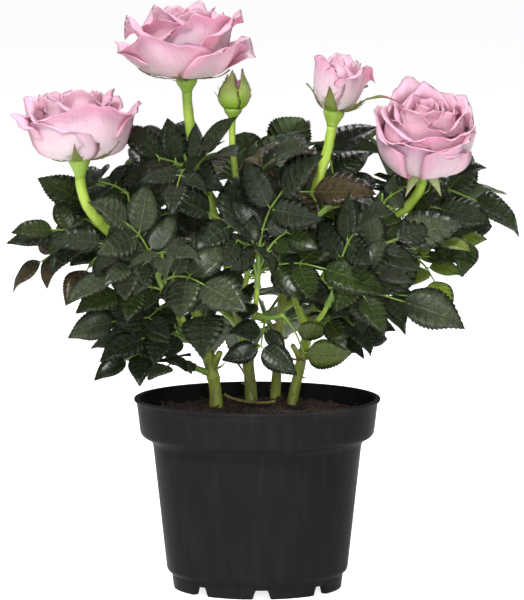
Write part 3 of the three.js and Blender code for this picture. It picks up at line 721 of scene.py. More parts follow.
# An outer petal is its bearing, the height it leaves the hip at, its length, width and slopes, and then how far its
# corners roll back, its point, its lean to one side and the fall of its corners. The whorl closes in a spiral.
ROSES = [
    {"name": "rose_left", "on": "stem_left", "seed": 301, "roll": 30, "spiral": 1.2,
     "hip": ((2.5, -0.4), (2.9, 1.5), (3.9, 4), (5.0, 6.2), (5.4, 7.6), (4.2, 8.8)),
     "sepals": {"foot": (4.3, 7.6), "length": 19, "width": 6.4, "slopes": (92, 84, 66, 46, 34), "turn": 190,
                "tail": 0},
     "outer": [
         (221, 7.6, 33, 48, (88, 66, 26, 6, 62), 2.0, 0.02, 0.34, 0.1),
         (12, 7.8, 41, 34, (88, 74, 34, 14, 24), 3.5, 0.04, -0.1, 0.02),
         (96, 7.8, 41, 48, (86, 64, 18, -4, 52), 4.0, 0.03, 0.0, 0.1),
         (186, 8.0, 38, 26, (88, 68, 28, 10, 84), 4.0, 0.1, -0.2, 0.1),
         (286, 8.2, 38, 64, (88, 66, 18, -4, 40), 2.5, 0.0, -0.1, 0.04),
         (158, 8.4, 42, 42, (82, 58, 16, -4, 62), 4.0, 0.03, 0.1, 0.1),
         (48, 8.4, 41, 40, (82, 56, 16, -2, 60), 4.0, 0.03, 0.0, 0.1),
     ],
     "whorl": {"count": 16, "turn": 232, "length": (40, 27), "width": (40, 14), "back": (2.6, 0.3),
               "first": (74, 44, 8, -6, 50), "last": (22, 6, -10, -12, 6)}},
    {"name": "rose_top", "on": "stem_top", "seed": 317, "roll": 26, "spiral": -1.4,
     "hip": ((2.5, -0.4), (3.1, 1.2), (4.5, 3.0), (5.2, 4.6), (5.1, 6), (4.2, 7.2)),
     "sepals": {"foot": (4.3, 6.2), "length": 21, "width": 5.4, "slopes": (92, 90, 80, 62, 50), "turn": 186,
                "tail": 0},
     "outer": [
         (236, 7.2, 36, 62, (88, 78, 46, 22, 30), 4.0, 0.18, -0.04, -0.04),
         (322, 6.5, 36, 44, (89, 82, 50, 24, 34), 4.0, 0.16, 0.16, 0.02),
         (30, 6.8, 35, 48, (88, 78, 54, 38, 50), 4.0, 0.08, 0.0, 0.0),
         (94, 6.8, 36, 48, (88, 78, 52, 34, 52), 4.0, 0.06, 0.0, 0.0),
         (164, 6.8, 35, 46, (88, 78, 54, 36, 50), 4.0, 0.08, 0.0, 0.0),
         (194, 8.0, 40, 36, (82, 58, 24, 8, 50), 6.0, 0.06, 0.1, 0.02),
         (284, 8.2, 39, 50, (84, 62, 14, -6, 40), 2.6, 0.03, -0.34, 0.05),
         (244, 8.4, 38, 40, (80, 54, 12, -8, 56), 2.4, 0.03, 0.2, 0.1),
         (340, 8.2, 40, 36, (82, 56, 22, 10, 46), 5.0, 0.08, -0.1, 0.02),
         (52, 8.2, 39, 42, (80, 52, 16, 4, 60), 4.0, 0.04, 0.0, 0.1),
         (124, 8.2, 39, 42, (80, 52, 16, 4, 60), 4.0, 0.04, 0.0, 0.1),
     ],
     "whorl": {"count": 15, "turn": 300, "length": (38, 29), "width": (38, 13), "back": (2.4, 0.3),
               "first": (66, 38, 6, -4, 46), "last": (22, 6, -10, -10, 10)}},
    {"name": "rose_right", "on": "stem_right", "seed": 331, "roll": 42, "spiral": 1.2,
     "hip": ((2.4, -0.4), (3.0, 1.0), (4.4, 2.6), (5.0, 4.2), (4.2, 5.8)),
     "sepals": {"foot": (4.2, 4.6), "length": 16, "width": 6.4, "slopes": (100, 118, 130, 136, 140), "turn": 18,
                "tail": 0},
     "outer": [
         (325, 5.4, 41, 48, (88, 76, 28, -6, 20), 2.0, 0.0, 0.2, 0.14),
         (248, 5.6, 38, 62, (88, 74, 24, -10, 30), 1.5, 0.0, 0.1, 0.1),
         (174, 5.8, 42, 54, (88, 72, 26, -12, 6), 1.2, 0.0, -0.1, 0.2),
         (40, 5.8, 42, 54, (86, 72, 28, -12, 6), 1.2, 0.0, 0.0, 0.2),
         (106, 5.8, 41, 54, (86, 72, 26, -16, 6), 1.2, 0.0, 0.1, 0.2),
         (288, 6.4, 42, 54, (84, 68, 20, -14, 30), 1.5, 0.0, -0.2, 0.1),
     ],
     "whorl": {"count": 22, "turn": 208, "length": (42, 28), "width": (48, 16), "back": (1.4, 0.2),
               "first": (78, 60, 16, -16, 24), "last": (28, 10, -16, -40, -50)}},
    {"name": "rose_half_open", "on": "stem_half_open", "seed": 347, "roll": 20, "spiral": 1.2,
     "hip": ((2.5, -0.4), (3.0, 1.6), (4.2, 3.8), (5.2, 5.8), (5.2, 7), (4.2, 8.2)),
     "sepals": {"foot": (4.6, 7.4), "length": 18, "width": 6.6, "slopes": (76, 44, 22, 34, 62), "turn": 322,
                "tail": 1},
     "outer": [
         (210, 7.8, 29, 28, (70, 36, 8, -6, -4), 0.8, 0.0, 0.0, 0.26),
         (326, 8.0, 27, 27, (72, 36, 8, 6, 44), 2.6, 0.04, -0.1, 0.1),
         (88, 8.0, 30, 26, (62, 24, 6, 6, 34), 2.5, 0.04, 0.0, 0.1),
     ],
     "whorl": {"count": 11, "turn": 262, "length": (27, 21), "width": (19, 8), "back": (2.6, 0.6),
               "first": (50, 20, 4, 4, 50), "last": (28, 6, -8, -8, 4)}},
    {"name": "bud_green", "on": "stem_green_bud", "seed": 353, "roll": 0, "spiral": 1.2,
     "hip": ((1.7, -0.3), (2.3, 1.0), (3.8, 2.8), (4.7, 4.4), (3.8, 5.8)),
     "sepals": {"foot": (4.0, 4.8), "length": 20, "width": 14, "slopes": (62, 22, -14, -34, -8), "turn": 244,
                "tail": 0},
     "outer": [(k, 5.0, 16, 13, (70, 20, -20, -40, -40), 0.0, 0.02, 0.0, 0.1) for k in (30, 150, 270)],
     "whorl": None},
]


def seeded(seed):
    state = seed

    def draw():
        nonlocal state
        state = state * 16807 % 2147483647
        return state / 2147483647

    return draw


def upto(draw, least, more):
    """The next draw, spread over the values from least to least + more."""
    return least + more * draw()


def sheet(heap, draw, foot, length, width, slopes, turn, finish, widths=PETAL_WIDTHS, back=0.0, tip=0.0, ruffle=0.5,
          flat=0.5, lip=0.15, skew=0.0, spiral=0.0, roll=0.0, grid=PETAL_GRID):
    """One petal or sepal: a closed thin sheet wrapped about the bloom's axis.

    Its midrib leaves foot (radius, height) and turns through slopes, in degrees from the axis; widths are its shares
    of width on the way up. Its rim's corners roll back, and one of its edges tucks under the next petal's."""
    rows, columns = grid
    v, u = np.meshgrid(np.linspace(0, 1, rows + 1), np.linspace(-1, 1, columns + 1), indexing="ij")
    waves = np.sin(4 * u + 6.3 * draw()) + 0.6 * np.sin(9 * u + 6.3 * draw()) + 0.35 * np.sin(15 * u + 6.3 * draw())
    reach = 1 - lip * u**2 - 0.5 * skew * u + tip * np.exp(-((u / 0.22) ** 2))
    reach = reach + 0.016 * v**3 * (np.sin(7 * u + 6.3 * draw()) + 0.5 * np.sin(13 * u + 6.3 * draw()))
    fine = np.linspace(0, 1, 101)
    slope = np.interp(fine, np.linspace(0, 1, len(slopes)), slopes) + roll * ease(0.8, 1.0, fine)
    slope = np.radians(slope)
    run_r = np.concatenate([[0], np.cumsum(np.sin(slope[1:]))]) * length / 100
    run_z = np.concatenate([[0], np.cumsum(np.cos(slope[1:]))]) * length / 100
    lean = np.interp(v, fine, slope)
    r, z = foot[0] + reach * np.interp(v, fine, run_r), foot[1] + reach * np.interp(v, fine, run_z)
    wide = width * np.interp(v, np.linspace(0, 1, len(widths)), widths)
    wrap = np.maximum(lerp(r, 0.5 * width, flat), 0.35 * width)
    angle = u * wide / 2 / wrap
    corner = ease(0.45, 1.0, v) * ease(0.25, 1.0, np.abs(u))
    out = ruffle * v**3 * waves + back * corner + spiral * u * v
    sink = 0.35 * back * corner
    from_axis = wrap + out * np.cos(lean)
    middle = np.stack([r - wrap + from_axis * np.cos(angle), from_axis * np.sin(angle),
                       z - out * np.sin(lean) - sink], axis=-1)
    normal = np.cross(np.gradient(middle, axis=1), np.gradient(middle, axis=0))
    normal /= np.maximum(np.linalg.norm(normal, axis=-1, keepdims=True), 1e-9)
    normal *= (PETAL_HALF_THICK * (1 - 0.4 * v))[..., None]
    sides = [middle + normal, middle - normal]
    rim = np.zeros(v.shape, bool)
    rim[[0, -1], :] = rim[:, [0, -1]] = True
    sides[0][rim] = (sides[0][rim] + sides[1][rim]) / 2
    outer = np.arange(v.size).reshape(v.shape)
    inner = outer.copy()
    inner[~rim] = v.size + np.arange((~rim).sum())
    points = np.concatenate([sides[0].reshape(-1, 3), sides[1][~rim]])
    c, s = math.cos(math.radians(turn)), math.sin(math.radians(turn))
    points = points @ np.array([[c, s, 0], [-s, c, 0], [0, 0, 1]])
    marks = np.stack([(u + 1) / 2, v], axis=-1)
    marks = np.concatenate([marks.reshape(-1, 2), marks[~rim]])
    faces, kinds = [], []
    for i in range(rows):
        for j in range(columns):
            for grid_of, kind, forth in ((outer, finish[0], True), (inner, finish[1], False)):
                loop = [grid_of[i, j], grid_of[i, j + 1], grid_of[i + 1, j + 1], grid_of[i + 1, j]]
                faces.append(tuple(int(p) for p in (loop if forth else loop[::-1])))
                kinds.append(kind)
    heap.add(points, faces, marks, kinds)
    return points[outer.ravel()].reshape(*v.shape, 3)


def whiskers(heap, draw, grid, tail):
    """The thin side lobes that leave the edges of a sepal, and the curled tail at its point."""
    rows = len(grid) - 1
    for side in (0, -1):
        for share in WHISKER_SHARES[: 2 + int(2 * draw())]:
            row = round(share * rows)
            root, middle = Vector(grid[row, side]), Vector(grid[row, grid.shape[1] // 2])
            away = (root - middle).normalized() * 0.8 + (Vector(grid[row + 1, side]) - root).normalized() * 0.7
            run = upto(draw, *WHISKER_LENGTH)
            path = [root + (middle - root) * 0.3, root, root + away * run * 0.5, root + away * run]
            swept(heap, path, WHISKER_RADII, 5, kinds=1)
    if tail:
        centre = grid.shape[1] // 2
        tip, before = Vector(grid[-1, centre]), Vector(grid[-3, centre])
        away = (tip - before).normalized()
        path = [before, tip]
        for k in range(TAIL_STEPS):
            away = (away + TAIL_CURL * (k > 1) + TAIL_DRIFT).normalized()
            path.append(path[-1] + away * TAIL_STEP)
        swept(heap, path, TAIL_RADII, 6, kinds=1)


def petal_effect():
    """Marks of a petal, from its surface coordinates: Foot fades from its base, Rim is its edge, Line its veins."""
    petal = Effect("petal_marks", {"Lines": 46.0}, ("Foot", "Rim", "Line"))
    marks = petal.node("ShaderNodeUVMap").outputs[0]
    where = petal.node("ShaderNodeSeparateXYZ", Vector=marks)
    petal.feed(petal.result["Foot"], petal.span(where.outputs[1], 0.15, 0.85, 1.0, 0.0))
    side = petal.maths("ABSOLUTE", petal.maths("SUBTRACT", where.outputs[0], 0.5))
    rim = petal.maths("MAXIMUM", petal.span(where.outputs[1], 0.72, 1.0), petal.span(side, 0.3, 0.5))
    rim = petal.times(rim, rim)
    petal.feed(petal.result["Rim"], rim)
    fine = petal.node("ShaderNodeCombineXYZ", X=petal.times(where.outputs[0], petal.given["Lines"]),
                      Y=petal.times(where.outputs[1], 3.0)).outputs[0]
    petal.feed(petal.result["Line"], petal.noise(fine, 1.0, 3.0, 0.6))
    return petal


PETAL_MARKS = petal_effect()


def petal_skin(name, foot, body, second, rim, deep):
    """Soft petal tissue that light passes through, with fine lengthwise veins and a rim of a cooler tone."""
    foot, body, second, rim = (paint(*colour) for colour in (foot, body, second, rim))
    skin = Finish(name, Roughness=0.55, Specular_IOR_Level=0.3, Subsurface_Weight=0.5, Subsurface_Scale=0.005)
    skin.shader.inputs["Subsurface Radius"].default_value = (1.0, 0.36, 0.42)
    marks = skin.grain(55.0, 1600.0)
    lines = PETAL_MARKS.placed_in(skin, Lines=46.0)
    pink = skin.mix(skin.span(marks["Blotch"], 0.3, 0.7), body, second)
    pink = skin.mix(skin.span(lines["Line"], 0.45, 0.75, 0.0, 0.42), pink, rim)
    # The foot's colour fades up from the base. On the inner faces it is a deep pink that is partly painted shade in
    # the cup; on the outer face it is a cream that is partly a painted lift of its shaded lower half.
    pink = skin.mix(skin.times(lines["Foot"], deep), pink, foot)
    skin.colour(skin.mix(skin.times(lines["Rim"], 0.55), pink, rim))
    skin.roughness(skin.span(marks["Grain"], 0.3, 0.7, 0.48, 0.62))
    skin.bump(skin.maths("ADD", lines["Line"], skin.times(marks["Grain"], 0.4)), 0.25, 0.0005)
    return skin.material


def sepal_skin(name, foot, body, second, rim):
    foot, body, second, rim = (paint(*colour) for colour in (foot, body, second, rim))
    skin = Finish(name, Roughness=0.5, Specular_IOR_Level=0.4)
    marks = skin.grain(140.0, 1500.0)
    lines = PETAL_MARKS.placed_in(skin, Lines=12.0)
    green = skin.mix(skin.span(marks["Blotch"], 0.35, 0.65), body, second)
    green = skin.mix(lines["Foot"], green, foot)
    skin.colour(skin.mix(skin.times(lines["Rim"], 0.7), green, rim))
    skin.bump(skin.maths("ADD", lines["Line"], marks["Grain"]), 0.3, 0.0005)
    return skin.material


def add_outer_petals(flower, rose, draw):
    for turn, height, length, width, slopes, back, tip, skew, lip in rose["outer"]:
        slopes = [s + 4 * (draw() - 0.5) for s in slopes]
        sheet(flower, draw, (3.6, height), length, width, slopes, turn, OUTER, back=back, tip=tip, skew=skew,
              lip=lip, spiral=rose["spiral"], roll=rose["roll"], ruffle=0.9 + 0.6 * draw())


def add_whorl(flower, rose, draw):
    """The inner petals, which close in a spiral and get smaller and steeper towards the heart."""
    whorl = rose["whorl"]
    for k in range(whorl["count"]):
        t = k / (whorl["count"] - 1)
        turn = whorl["turn"] + GOLDEN_TURN * k + 14 * (draw() - 0.5)
        slopes = [lerp(a, b, t) + 8 * (draw() - 0.5) for a, b in zip(whorl["first"], whorl["last"])]
        slopes[-1] += 26 * (draw() - 0.5) * (1 - t)
        sheet(flower, draw, (lerp(3.4, 0.9, t), lerp(8.4, 10, t)), lerp(*whorl["length"], t) * (0.95 + 0.1 * draw()),
              lerp(*whorl["width"], t) * (0.9 + 0.2 * draw()), slopes, turn, MIDDLE if t < 0.6 else HEART,
              back=lerp(*whorl["back"], t) * (0.6 + 0.8 * draw()), tip=0.05 * draw(), skew=0.24 * (draw() - 0.5),
              lip=0.2, spiral=lerp(1.2, 0.6, t), roll=rose["roll"], ruffle=(0.6 + 0.6 * draw()) * (1 - 0.5 * t))


def add_calyx(green, rose, draw):
    """The hip and the sepals round it."""
    hip = rounded([(r, z, 1.2) for r, z in rose["hip"]], 3)
    body = lathe(np.vstack([[(0.02, -0.6)], hip, [(0.02, hip[-1][1] + 0.3)]]), HIP_SIDES)
    green.add(body, ring_faces(*body.shape[:2]))
    sepal = rose["sepals"]
    for k in range(SEPALS):
        turn = sepal["turn"] + 360 / SEPALS * k + 12 * (draw() - 0.5)
        slopes = [s + 12 * (draw() - 0.5) for s in sepal["slopes"]]
        tail = sepal["tail"] and k == 0
        if tail:
            slopes = [s + d for s, d in zip(slopes, TAIL_SLOPES)]
        grid = sheet(green, draw, sepal["foot"], sepal["length"] * upto(draw, *SEPAL_LENGTHS), sepal["width"], slopes,
                     turn, (1, 2), widths=SEPAL_WIDTHS, ruffle=0.25, lip=0, flat=0.2, grid=SEPAL_GRID)
        whiskers(green, draw, grid, tail)


def make_blooms():
    petals = [petal_skin(*row) for row in PETAL_SKINS]
    hip_green = bark("hip_skin", paint(138, 168, 60), paint(118, 148, 50), paint(112, 110, 56), 0.3)
    inner, outer, on_bud = (sepal_skin(*row) for row in SEPAL_SKINS)
    for rose in ROSES:
        draw = seeded(rose["seed"])
        flower, green = Heap(), Heap()
        add_outer_petals(flower, rose, draw)
        if rose["whorl"]:
            add_whorl(flower, rose, draw)
        add_calyx(green, rose, draw)
        stem = limbs[rose["on"]]["curve"]
        axis = stem.tangent(1)
        place = Matrix.Translation(stem.point(1) + axis * CLEAR)
        place = np.array(place @ Vector((0, 0, 1)).rotation_difference(axis).to_matrix().to_4x4())
        closed = rose["whorl"] is None
        greens = [hip_green, on_bud if closed else outer, inner]
        for heap, part, finishes in ((flower, "petals", petals), (green, "calyx", greens)):
            heap.points = [p @ place[:3, :3].T + place[:3, 3] for p in heap.points]
            set_piece(heap.mesh(rose["name"] + "_" + part, finishes), [rose["name"]])


make_blooms()


# ---- Foliage ----
# Each mass of leaves grows on a twig: sprays of five leaflets on a thin stalk with a pair of stipules at its foot. A
# leaflet is a toothed oval blade, puffed between its sunk side veins, glossy above and pale and matte below.
LEAFLET_LENGTH = 38
LEAFLET_HALF = 0.32  # half its width, and where it is widest, as shares of its length
LEAFLET_WIDEST = 0.42
LEAFLET_BEND = 0.16
LEAFLET_FOLD = 0.1
LEAFLET_THICK = 0.45  # how far the midrib's two faces stand off in the plain blade of the solids
ROOT = 3  # how much of a leaflet's root may lie against its neighbours'
HELD = 0.6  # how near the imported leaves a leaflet's corners have to lie
BLADE_FACES = [f for i in range(4) for f in (((i + 1) % 4, i, 4), (i, (i + 1) % 4, 5))]

BLADE_TEETH = 16
BLADE_SHARES = (0, 0.05, 0.13, 0.25, 0.4, 0.55, 0.7, 0.83, 0.93, 1)
BLADE_WIDTHS = (0, 0.42, 0.74, 0.95, 1, 0.9, 0.67, 0.38, 0.14, 0)
BLADE_SUNK = 0.7  # how far the side veins lean forward
BLADE_THICK = 0.025
BLADE_PUFF = (-0.004, 0.022)  # how high the blade stands on a side vein and between two
RIB_SUNK = 0.012
MIDWAY = 0.52  # where the row of points between midrib and edge lies, as a share of the half width
NOTCH_ON, NOTCH_IN = 0.3, 0.95  # where between two teeth a notch lies, and its share of the half width
BLADE_BREADTH = (0.88, 0.22)  # the least share of its width that a blade has, and how much more it may be
BLADE_BENDS, BLADE_FOLDS = (0.4, 1.4), (0.2, 2.2)  # likewise of its bend and fold
BLADE_WAVE, BLADE_CURL, TIP_DROOP, BLADE_SWAY = (0.008, 0.022), 0.5, 0.1, 0.05

SPRAY = {"petiole": 12, "step": 14.5, "foot": 0.75, "tip": 0.42, "angle": 60, "arch": 30}
SPRAY_STEPS = (SPRAY["petiole"], SPRAY["step"], SPRAY["step"])
LOUVRE = (14, 22)  # least tilt of a spray's side leaflets, in degrees, and how much more it may be
WOBBLE = 0.4  # how far a spray's leaflets stray from the way their mass faces
SIDE_GROWN, SIDE_GAIN = 0.72, 0.13  # the size of a spray's first pair of leaflets, and what the next one adds to it
STALKLET = 1.4
STALKLET_RADII = (0.42, 0.36, 0.22)
STALK_SIDES, STALK_STEPS, STALK_FLARE = 6, 4, 1.5
STIPULE = {"length": 6.5, "half": 0.16, "lift": 0.15, "spread": 0.45}

TWIG_FOOT, TWIG_TIP = 1.6, 1.2
TWIG_SIDES, TWIG_STEPS, TWIG_FLARE = 9, 9, 1.35
FIRST_LEAF, LAST_ROOT = 0.25, 0.97  # the shares of the twig before and past which no spray leaves
FAN_SWING, FAN_RISE, FAN_LAST_RISE, FAN_SIZE = (45, 50), 30, 6, (0.85, 0.3)
OWN_DRAWS, FINE_DRAWS = 5000, 9000  # added to a mass's seed, for its blades' own bends and for its finer twigs
FINE_TWIGS = 9  # twigs that each mass is carried on to
FINE_SHARE = (0.12, 0.85)  # the least share of its twig where one leaves, and how much more it may be
FINE_LENGTH = (5, 13)
FINE_SIZE = (0.5, 0.28)
FINE_RADII = (0.85, 0.6)
FINE_TURN, FINE_RISE, FINE_FALL, FINE_SAG = 300, 70, 25, 0.8
FINE_SPRAYS = ((1, 30), (0.55, 120))  # where on a fine twig each leaves, and how far its bearing may stray
SPRAY_RISE, SPRAY_FALL = 70, 20
FEWEST_LEAFLETS = 3
SLACK = 2  # how far past its mass's box a fine leaflet may reach
MASSES = (  # name after leaves_, limb, the share of it where the twig leaves, the twig's bearing, rise and length,
    # the bearing and rise that its leaves face, seed, tints, and its sprays: the share of the twig where each leaves,
    # bearing, rise and size. Where only their number is given they are fanned by the seed.
    ("left_outer", "bough_left_outer", 1, 185, 24, 14, (255, 48), 11, "green blue maroon grey",
     [(0.3, 172, 66, 0.8), (0.6, 186, 30, 0.8), (0.9, 235, -6, 0.62), (1, 180, 52, 0.7)]),
    ("left_low", "cane_left", 0.66, 192, 22, 17, (255, 48), 27, "blue green grey",
     [(0.3, 220, 22, 0.7), (0.6, 155, 30, 0.72), (1, 188, 22, 0.68)]),
    ("left_bottom", "cane_left", 0.34, 205, 18, 22, (255, 50), 37, "grey blue dark",
     [(0.4, 240, 22, 0.52), (0.7, 176, 28, 0.5), (1, 205, 10, 0.58)]),
    ("left_front", "bough_left_front", 1, 225, 44, 18, (262, 42), 43, "green grey blue grey",
     [(0.2, 212, 18, 0.64), (0.5, 305, 20, 0.9), (0.8, 185, 45, 0.74), (1, 235, 62, 0.8)]),
    ("left_back", "stem_left", 0.3, 125, 20, 24, (150, 55), 53, "dark green dark olive", 4),
    ("left_top", "stem_left", 0.56, 50, 40, 18, (265, 50), 61, "dark green blue",
     [(0.3, 10, 30, 0.85), (0.7, 130, 40, 0.85), (1, 60, 52, 0.85)]),
    ("front", "bough_front", 1, 275, 56, 20, (270, 36), 71, "dark green blue blue",
     [(0.2, 205, 30, 0.85), (0.4, 330, 22, 0.9), (0.7, 200, 60, 0.85), (1, 300, 70, 0.9)]),
    ("front_low", "bough_front", 0.5, 320, -6, 16, (270, 30), 83, "blue dark olive",
     [(0.3, 258, -40, 0.66), (0.7, 0, 8, 0.6), (1, 348, -52, 0.78)]),
    ("centre", "cane_middle", 0.72, 212, 12, 16, (265, 40), 89, "dark grey green",
     [(0.3, 180, 20, 0.9), (0.7, 265, 10, 0.85), (1, 225, 50, 0.95)]),
    ("top_left", "stem_top", 0.42, 235, 30, 16, (262, 45), 97, "green blue dark",
     [(0.3, 160, 20, 0.8), (0.7, 290, 40, 0.85), (1, 225, 30, 0.8)]),
    ("top_middle", "stem_green_bud", 0.45, 290, 40, 14, (268, 38), 101, "maroon blue",
     [(0.4, 340, 34, 0.85), (1, 290, 52, 0.9)]),
    ("inner", "stem_half_open", 0.2, 60, 20, 18, (280, 50), 107, "dark olive dark",
     [(0.3, 120, 20, 0.95), (0.7, 20, 30, 0.95), (1, 60, 50, 0.95)]),
    ("top_back", "stem_top", 0.34, 70, 16, 30, (90, 60), 113, "dark green dark maroon", 4),
    ("top_right", "stem_half_open", 0.52, 350, 30, 16, (270, 42), 127, "blue maroon dark",
     [(0.4, 30, 26, 0.85), (0.7, 300, 24, 0.85), (1, 110, 72, 0.95)]),
    ("right_front", "bough_right_front", 1, 295, 40, 18, (275, 40), 131, "grey green grey blue",
     [(0.2, 345, 16, 0.88), (0.5, 240, 34, 0.8), (0.8, 10, 50, 0.9), (1, 290, 62, 0.85)]),
    ("right_top", "stem_right", 0.45, 40, 40, 22, (275, 50), 149, "grey blue green",
     [(0.4, 335, 22, 0.7), (0.7, 90, 22, 0.75), (1, 5, 8, 0.96)]),
    ("right_outer", "bough_right_outer", 1, 355, 30, 14, (285, 44), 151, "young blue green",
     [(0.3, 300, -8, 0.62), (0.6, 30, 36, 0.66), (1, 345, 44, 0.5)]),
    ("right_low", "cane_right", 0.66, 345, 18, 24, (285, 46), 167, "blue green grey",
     [(0.3, 290, 18, 0.76), (0.6, 30, 28, 0.7), (1, 350, 26, 0.6)]),
    ("right_bottom", "cane_right", 0.4, 335, 18, 16, (282, 42), 173, "dark green",
     [(0.4, 20, 30, 0.5), (1, 325, 36, 0.5)]),
    ("back_left", "bough_back_left", 1, 130, 36, 26, (130, 50), 187, "dark green blue dark olive", 5),
    ("back", "cane_back", 1, 85, 60, 28, (90, 50), 193, "green dark blue dark maroon", 5),
    ("back_low", "cane_back", 0.45, 105, 12, 34, (95, 50), 199, "blue dark green grey", 4),
    ("back_right", "bough_back_right", 1, 30, 34, 26, (40, 50), 211, "dark green dark blue green", 5),
)
MASS_KEYS = ("name", "on", "at", "bearing", "rise", "length", "faces", "seed", "tints", "sprays")
TINTS = {  # upper face, a second tone of it, underside and the vein's own colour
    "dark": (paint(11, 17, 6), paint(20, 28, 11), paint(60, 74, 42), paint(58, 74, 34)),
    "blue": (paint(17, 24, 14), paint(27, 36, 22), paint(66, 80, 50), paint(84, 100, 66)),
    "green": (paint(20, 32, 8), paint(34, 50, 14), paint(74, 92, 42), paint(84, 104, 42)),
    "grey": (paint(40, 49, 31), paint(56, 65, 45), paint(88, 100, 68), paint(108, 120, 86)),
    "olive": (paint(52, 70, 17), paint(74, 92, 26), paint(98, 116, 52), paint(120, 138, 58)),
    "maroon": (paint(42, 32, 21), paint(58, 41, 29), paint(92, 74, 54), paint(104, 98, 50)),
    "young": (paint(96, 124, 32), paint(116, 136, 44), paint(124, 138, 66), paint(148, 164, 76)),
}


def blade_rule():
    """The leaflet's blade, laid flat: per point the shares along and across it and above it, its row and its side.

    Rows of points lean forward with the side veins, one to each tooth: each second row is a vein and lies low."""
    rows = BLADE_TEETH
    points, faces, kinds = [], [], []
    marks = {}

    def mark(key, *place):
        marks[key] = len(points)
        points.append(place)

    for i in range(rows + 1):
        e = i / rows
        full = np.interp(e, BLADE_SHARES, BLADE_WIDTHS)
        rib = e * (1 - BLADE_SUNK * (1 - e))
        puff = BLADE_PUFF[i % 2] * full
        mark((i, 0), rib, 0, -RIB_SUNK * full, e, 0)
        mark((i, "under"), rib, 0, -RIB_SUNK * full - BLADE_THICK, e, 0)
        for side in (-1, 1):
            mark((i, side, "mid"), lerp(rib, e, 0.5), MIDWAY * side * LEAFLET_HALF * full, puff, e, MIDWAY * side)
            mark((i, side, "edge"), min(1.0, e + 0.012), side * LEAFLET_HALF * (full * 1.02 + 0.015), 0, e, side)
            if i < rows:
                n = (i + NOTCH_ON) / rows
                wide = LEAFLET_HALF * (np.interp(n, BLADE_SHARES, BLADE_WIDTHS) * NOTCH_IN)
                mark((i, side, "notch"), n, side * wide, 0, n, NOTCH_IN * side)
    for i in range(rows):
        for side in (-1, 1):
            middle, edge, notch = ((i, side, part) for part in ("mid", "edge", "notch"))
            next_middle, next_edge, next_notch = ((i + 1, side, part) for part in ("mid", "edge", "notch"))
            loops = [[(i, 0), (i + 1, 0), next_middle, middle], [middle, next_middle, next_edge, notch, edge]]
            if i % 2 == 0:
                far = i + 2
                loops.append([(far, "under"), (i, "under"), edge, notch, next_edge, next_notch, (far, side, "edge")])
            for n, loop in enumerate(loops):
                loop = [marks[key] for key in loop]
                faces.append(tuple(loop if side == -1 else loop[::-1]))
                kinds.append(int(n == 2))
    ends = {marks[(i, *key)]: marks[(i, 0)] for i in (0, rows)
            for key in (("under",), (-1, "mid"), (1, "mid"), (-1, "edge"), (1, "edge"))}
    kept, used = [], []
    for face, kind in zip(faces, kinds):
        loop = [ends.get(i, i) for i in face]
        loop = [p for k, p in enumerate(loop) if p != loop[k - 1]]
        if len(set(loop)) >= 3:
            kept.append(tuple(loop))
            used.append(kind)
    order = sorted({i for face in kept for i in face})
    index = {old: new for new, old in enumerate(order)}
    return np.array(points, float)[order], [tuple(index[i] for i in face) for face in kept], used


BLADE = blade_rule()


def add_blade(heap, leaflet, draw):
    """Bends one toothed blade and sets it in its leaflet's place, on a short stalk of its own."""
    rule, faces, kinds = BLADE
    length = leaflet["length"] - STALKLET
    share, across, above = rule[:, 0], rule[:, 1] * length * upto(draw, *BLADE_BREADTH), rule[:, 2] * length
    bend = LEAFLET_BEND * upto(draw, *BLADE_BENDS)
    fold = 2 * LEAFLET_FOLD * (BLADE_FOLDS[0] + BLADE_FOLDS[1] * draw() ** 2)
    phase, wave, curl = 6.3 * draw(), upto(draw, *BLADE_WAVE), BLADE_CURL * (draw() - 0.5)
    edge = np.abs(across) / (LEAFLET_HALF * length)
    up = above - bend * length * share**2 + fold * np.abs(across) * (1 - 0.5 * edge)
    up += wave * length * edge * np.sin(8 * share + phase + 1.5 * np.sign(across))
    up += curl * across * share - TIP_DROOP * draw() * length * ease(0.72, 1.0, share)
    along = STALKLET + share * length * (1 - 0.35 * bend * share)
    sway = BLADE_SWAY * (draw() - 0.5) * length * share**2
    axes = [np.array(leaflet[k]) for k in ("along", "across", "normal")]
    points = (np.array(leaflet["foot"]) + along[:, None] * axes[0] + (across + sway)[:, None] * axes[1]
              + up[:, None] * axes[2])
    heap.add(points, faces, rule[:, 3:5], kinds)


def blade_corners(leaflet):
    """The plain blade that the solids have: root, side, tip, side, and the two faces of its midrib."""
    length, half = leaflet["length"], LEAFLET_HALF * leaflet["length"]
    foot, along, across, normal = (leaflet[k] for k in ("foot", "along", "across", "normal"))

    def at(a, c, n):
        return foot + along * a + across * c + normal * n

    def drop(share):
        return -LEAFLET_BEND * length * share * share

    wide = drop(LEAFLET_WIDEST) + 2 * LEAFLET_FOLD * half
    middle = LEAFLET_WIDEST * length
    faces = (at(middle, 0, drop(LEAFLET_WIDEST) + k * LEAFLET_THICK) for k in (1, -1))
    return [at(0.1, 0, 0), at(middle, half, wide), at(length, 0, drop(1)), at(middle, -half, wide), *faces]


def plain_blade(leaflet):
    """The same blade without its root, as its corners and as a tree that finds what it crosses."""
    corners = blade_corners(leaflet)
    corners[0] = leaflet["foot"] + leaflet["along"] * ROOT
    return corners, BVHTree.FromPolygons(corners, BLADE_FACES)


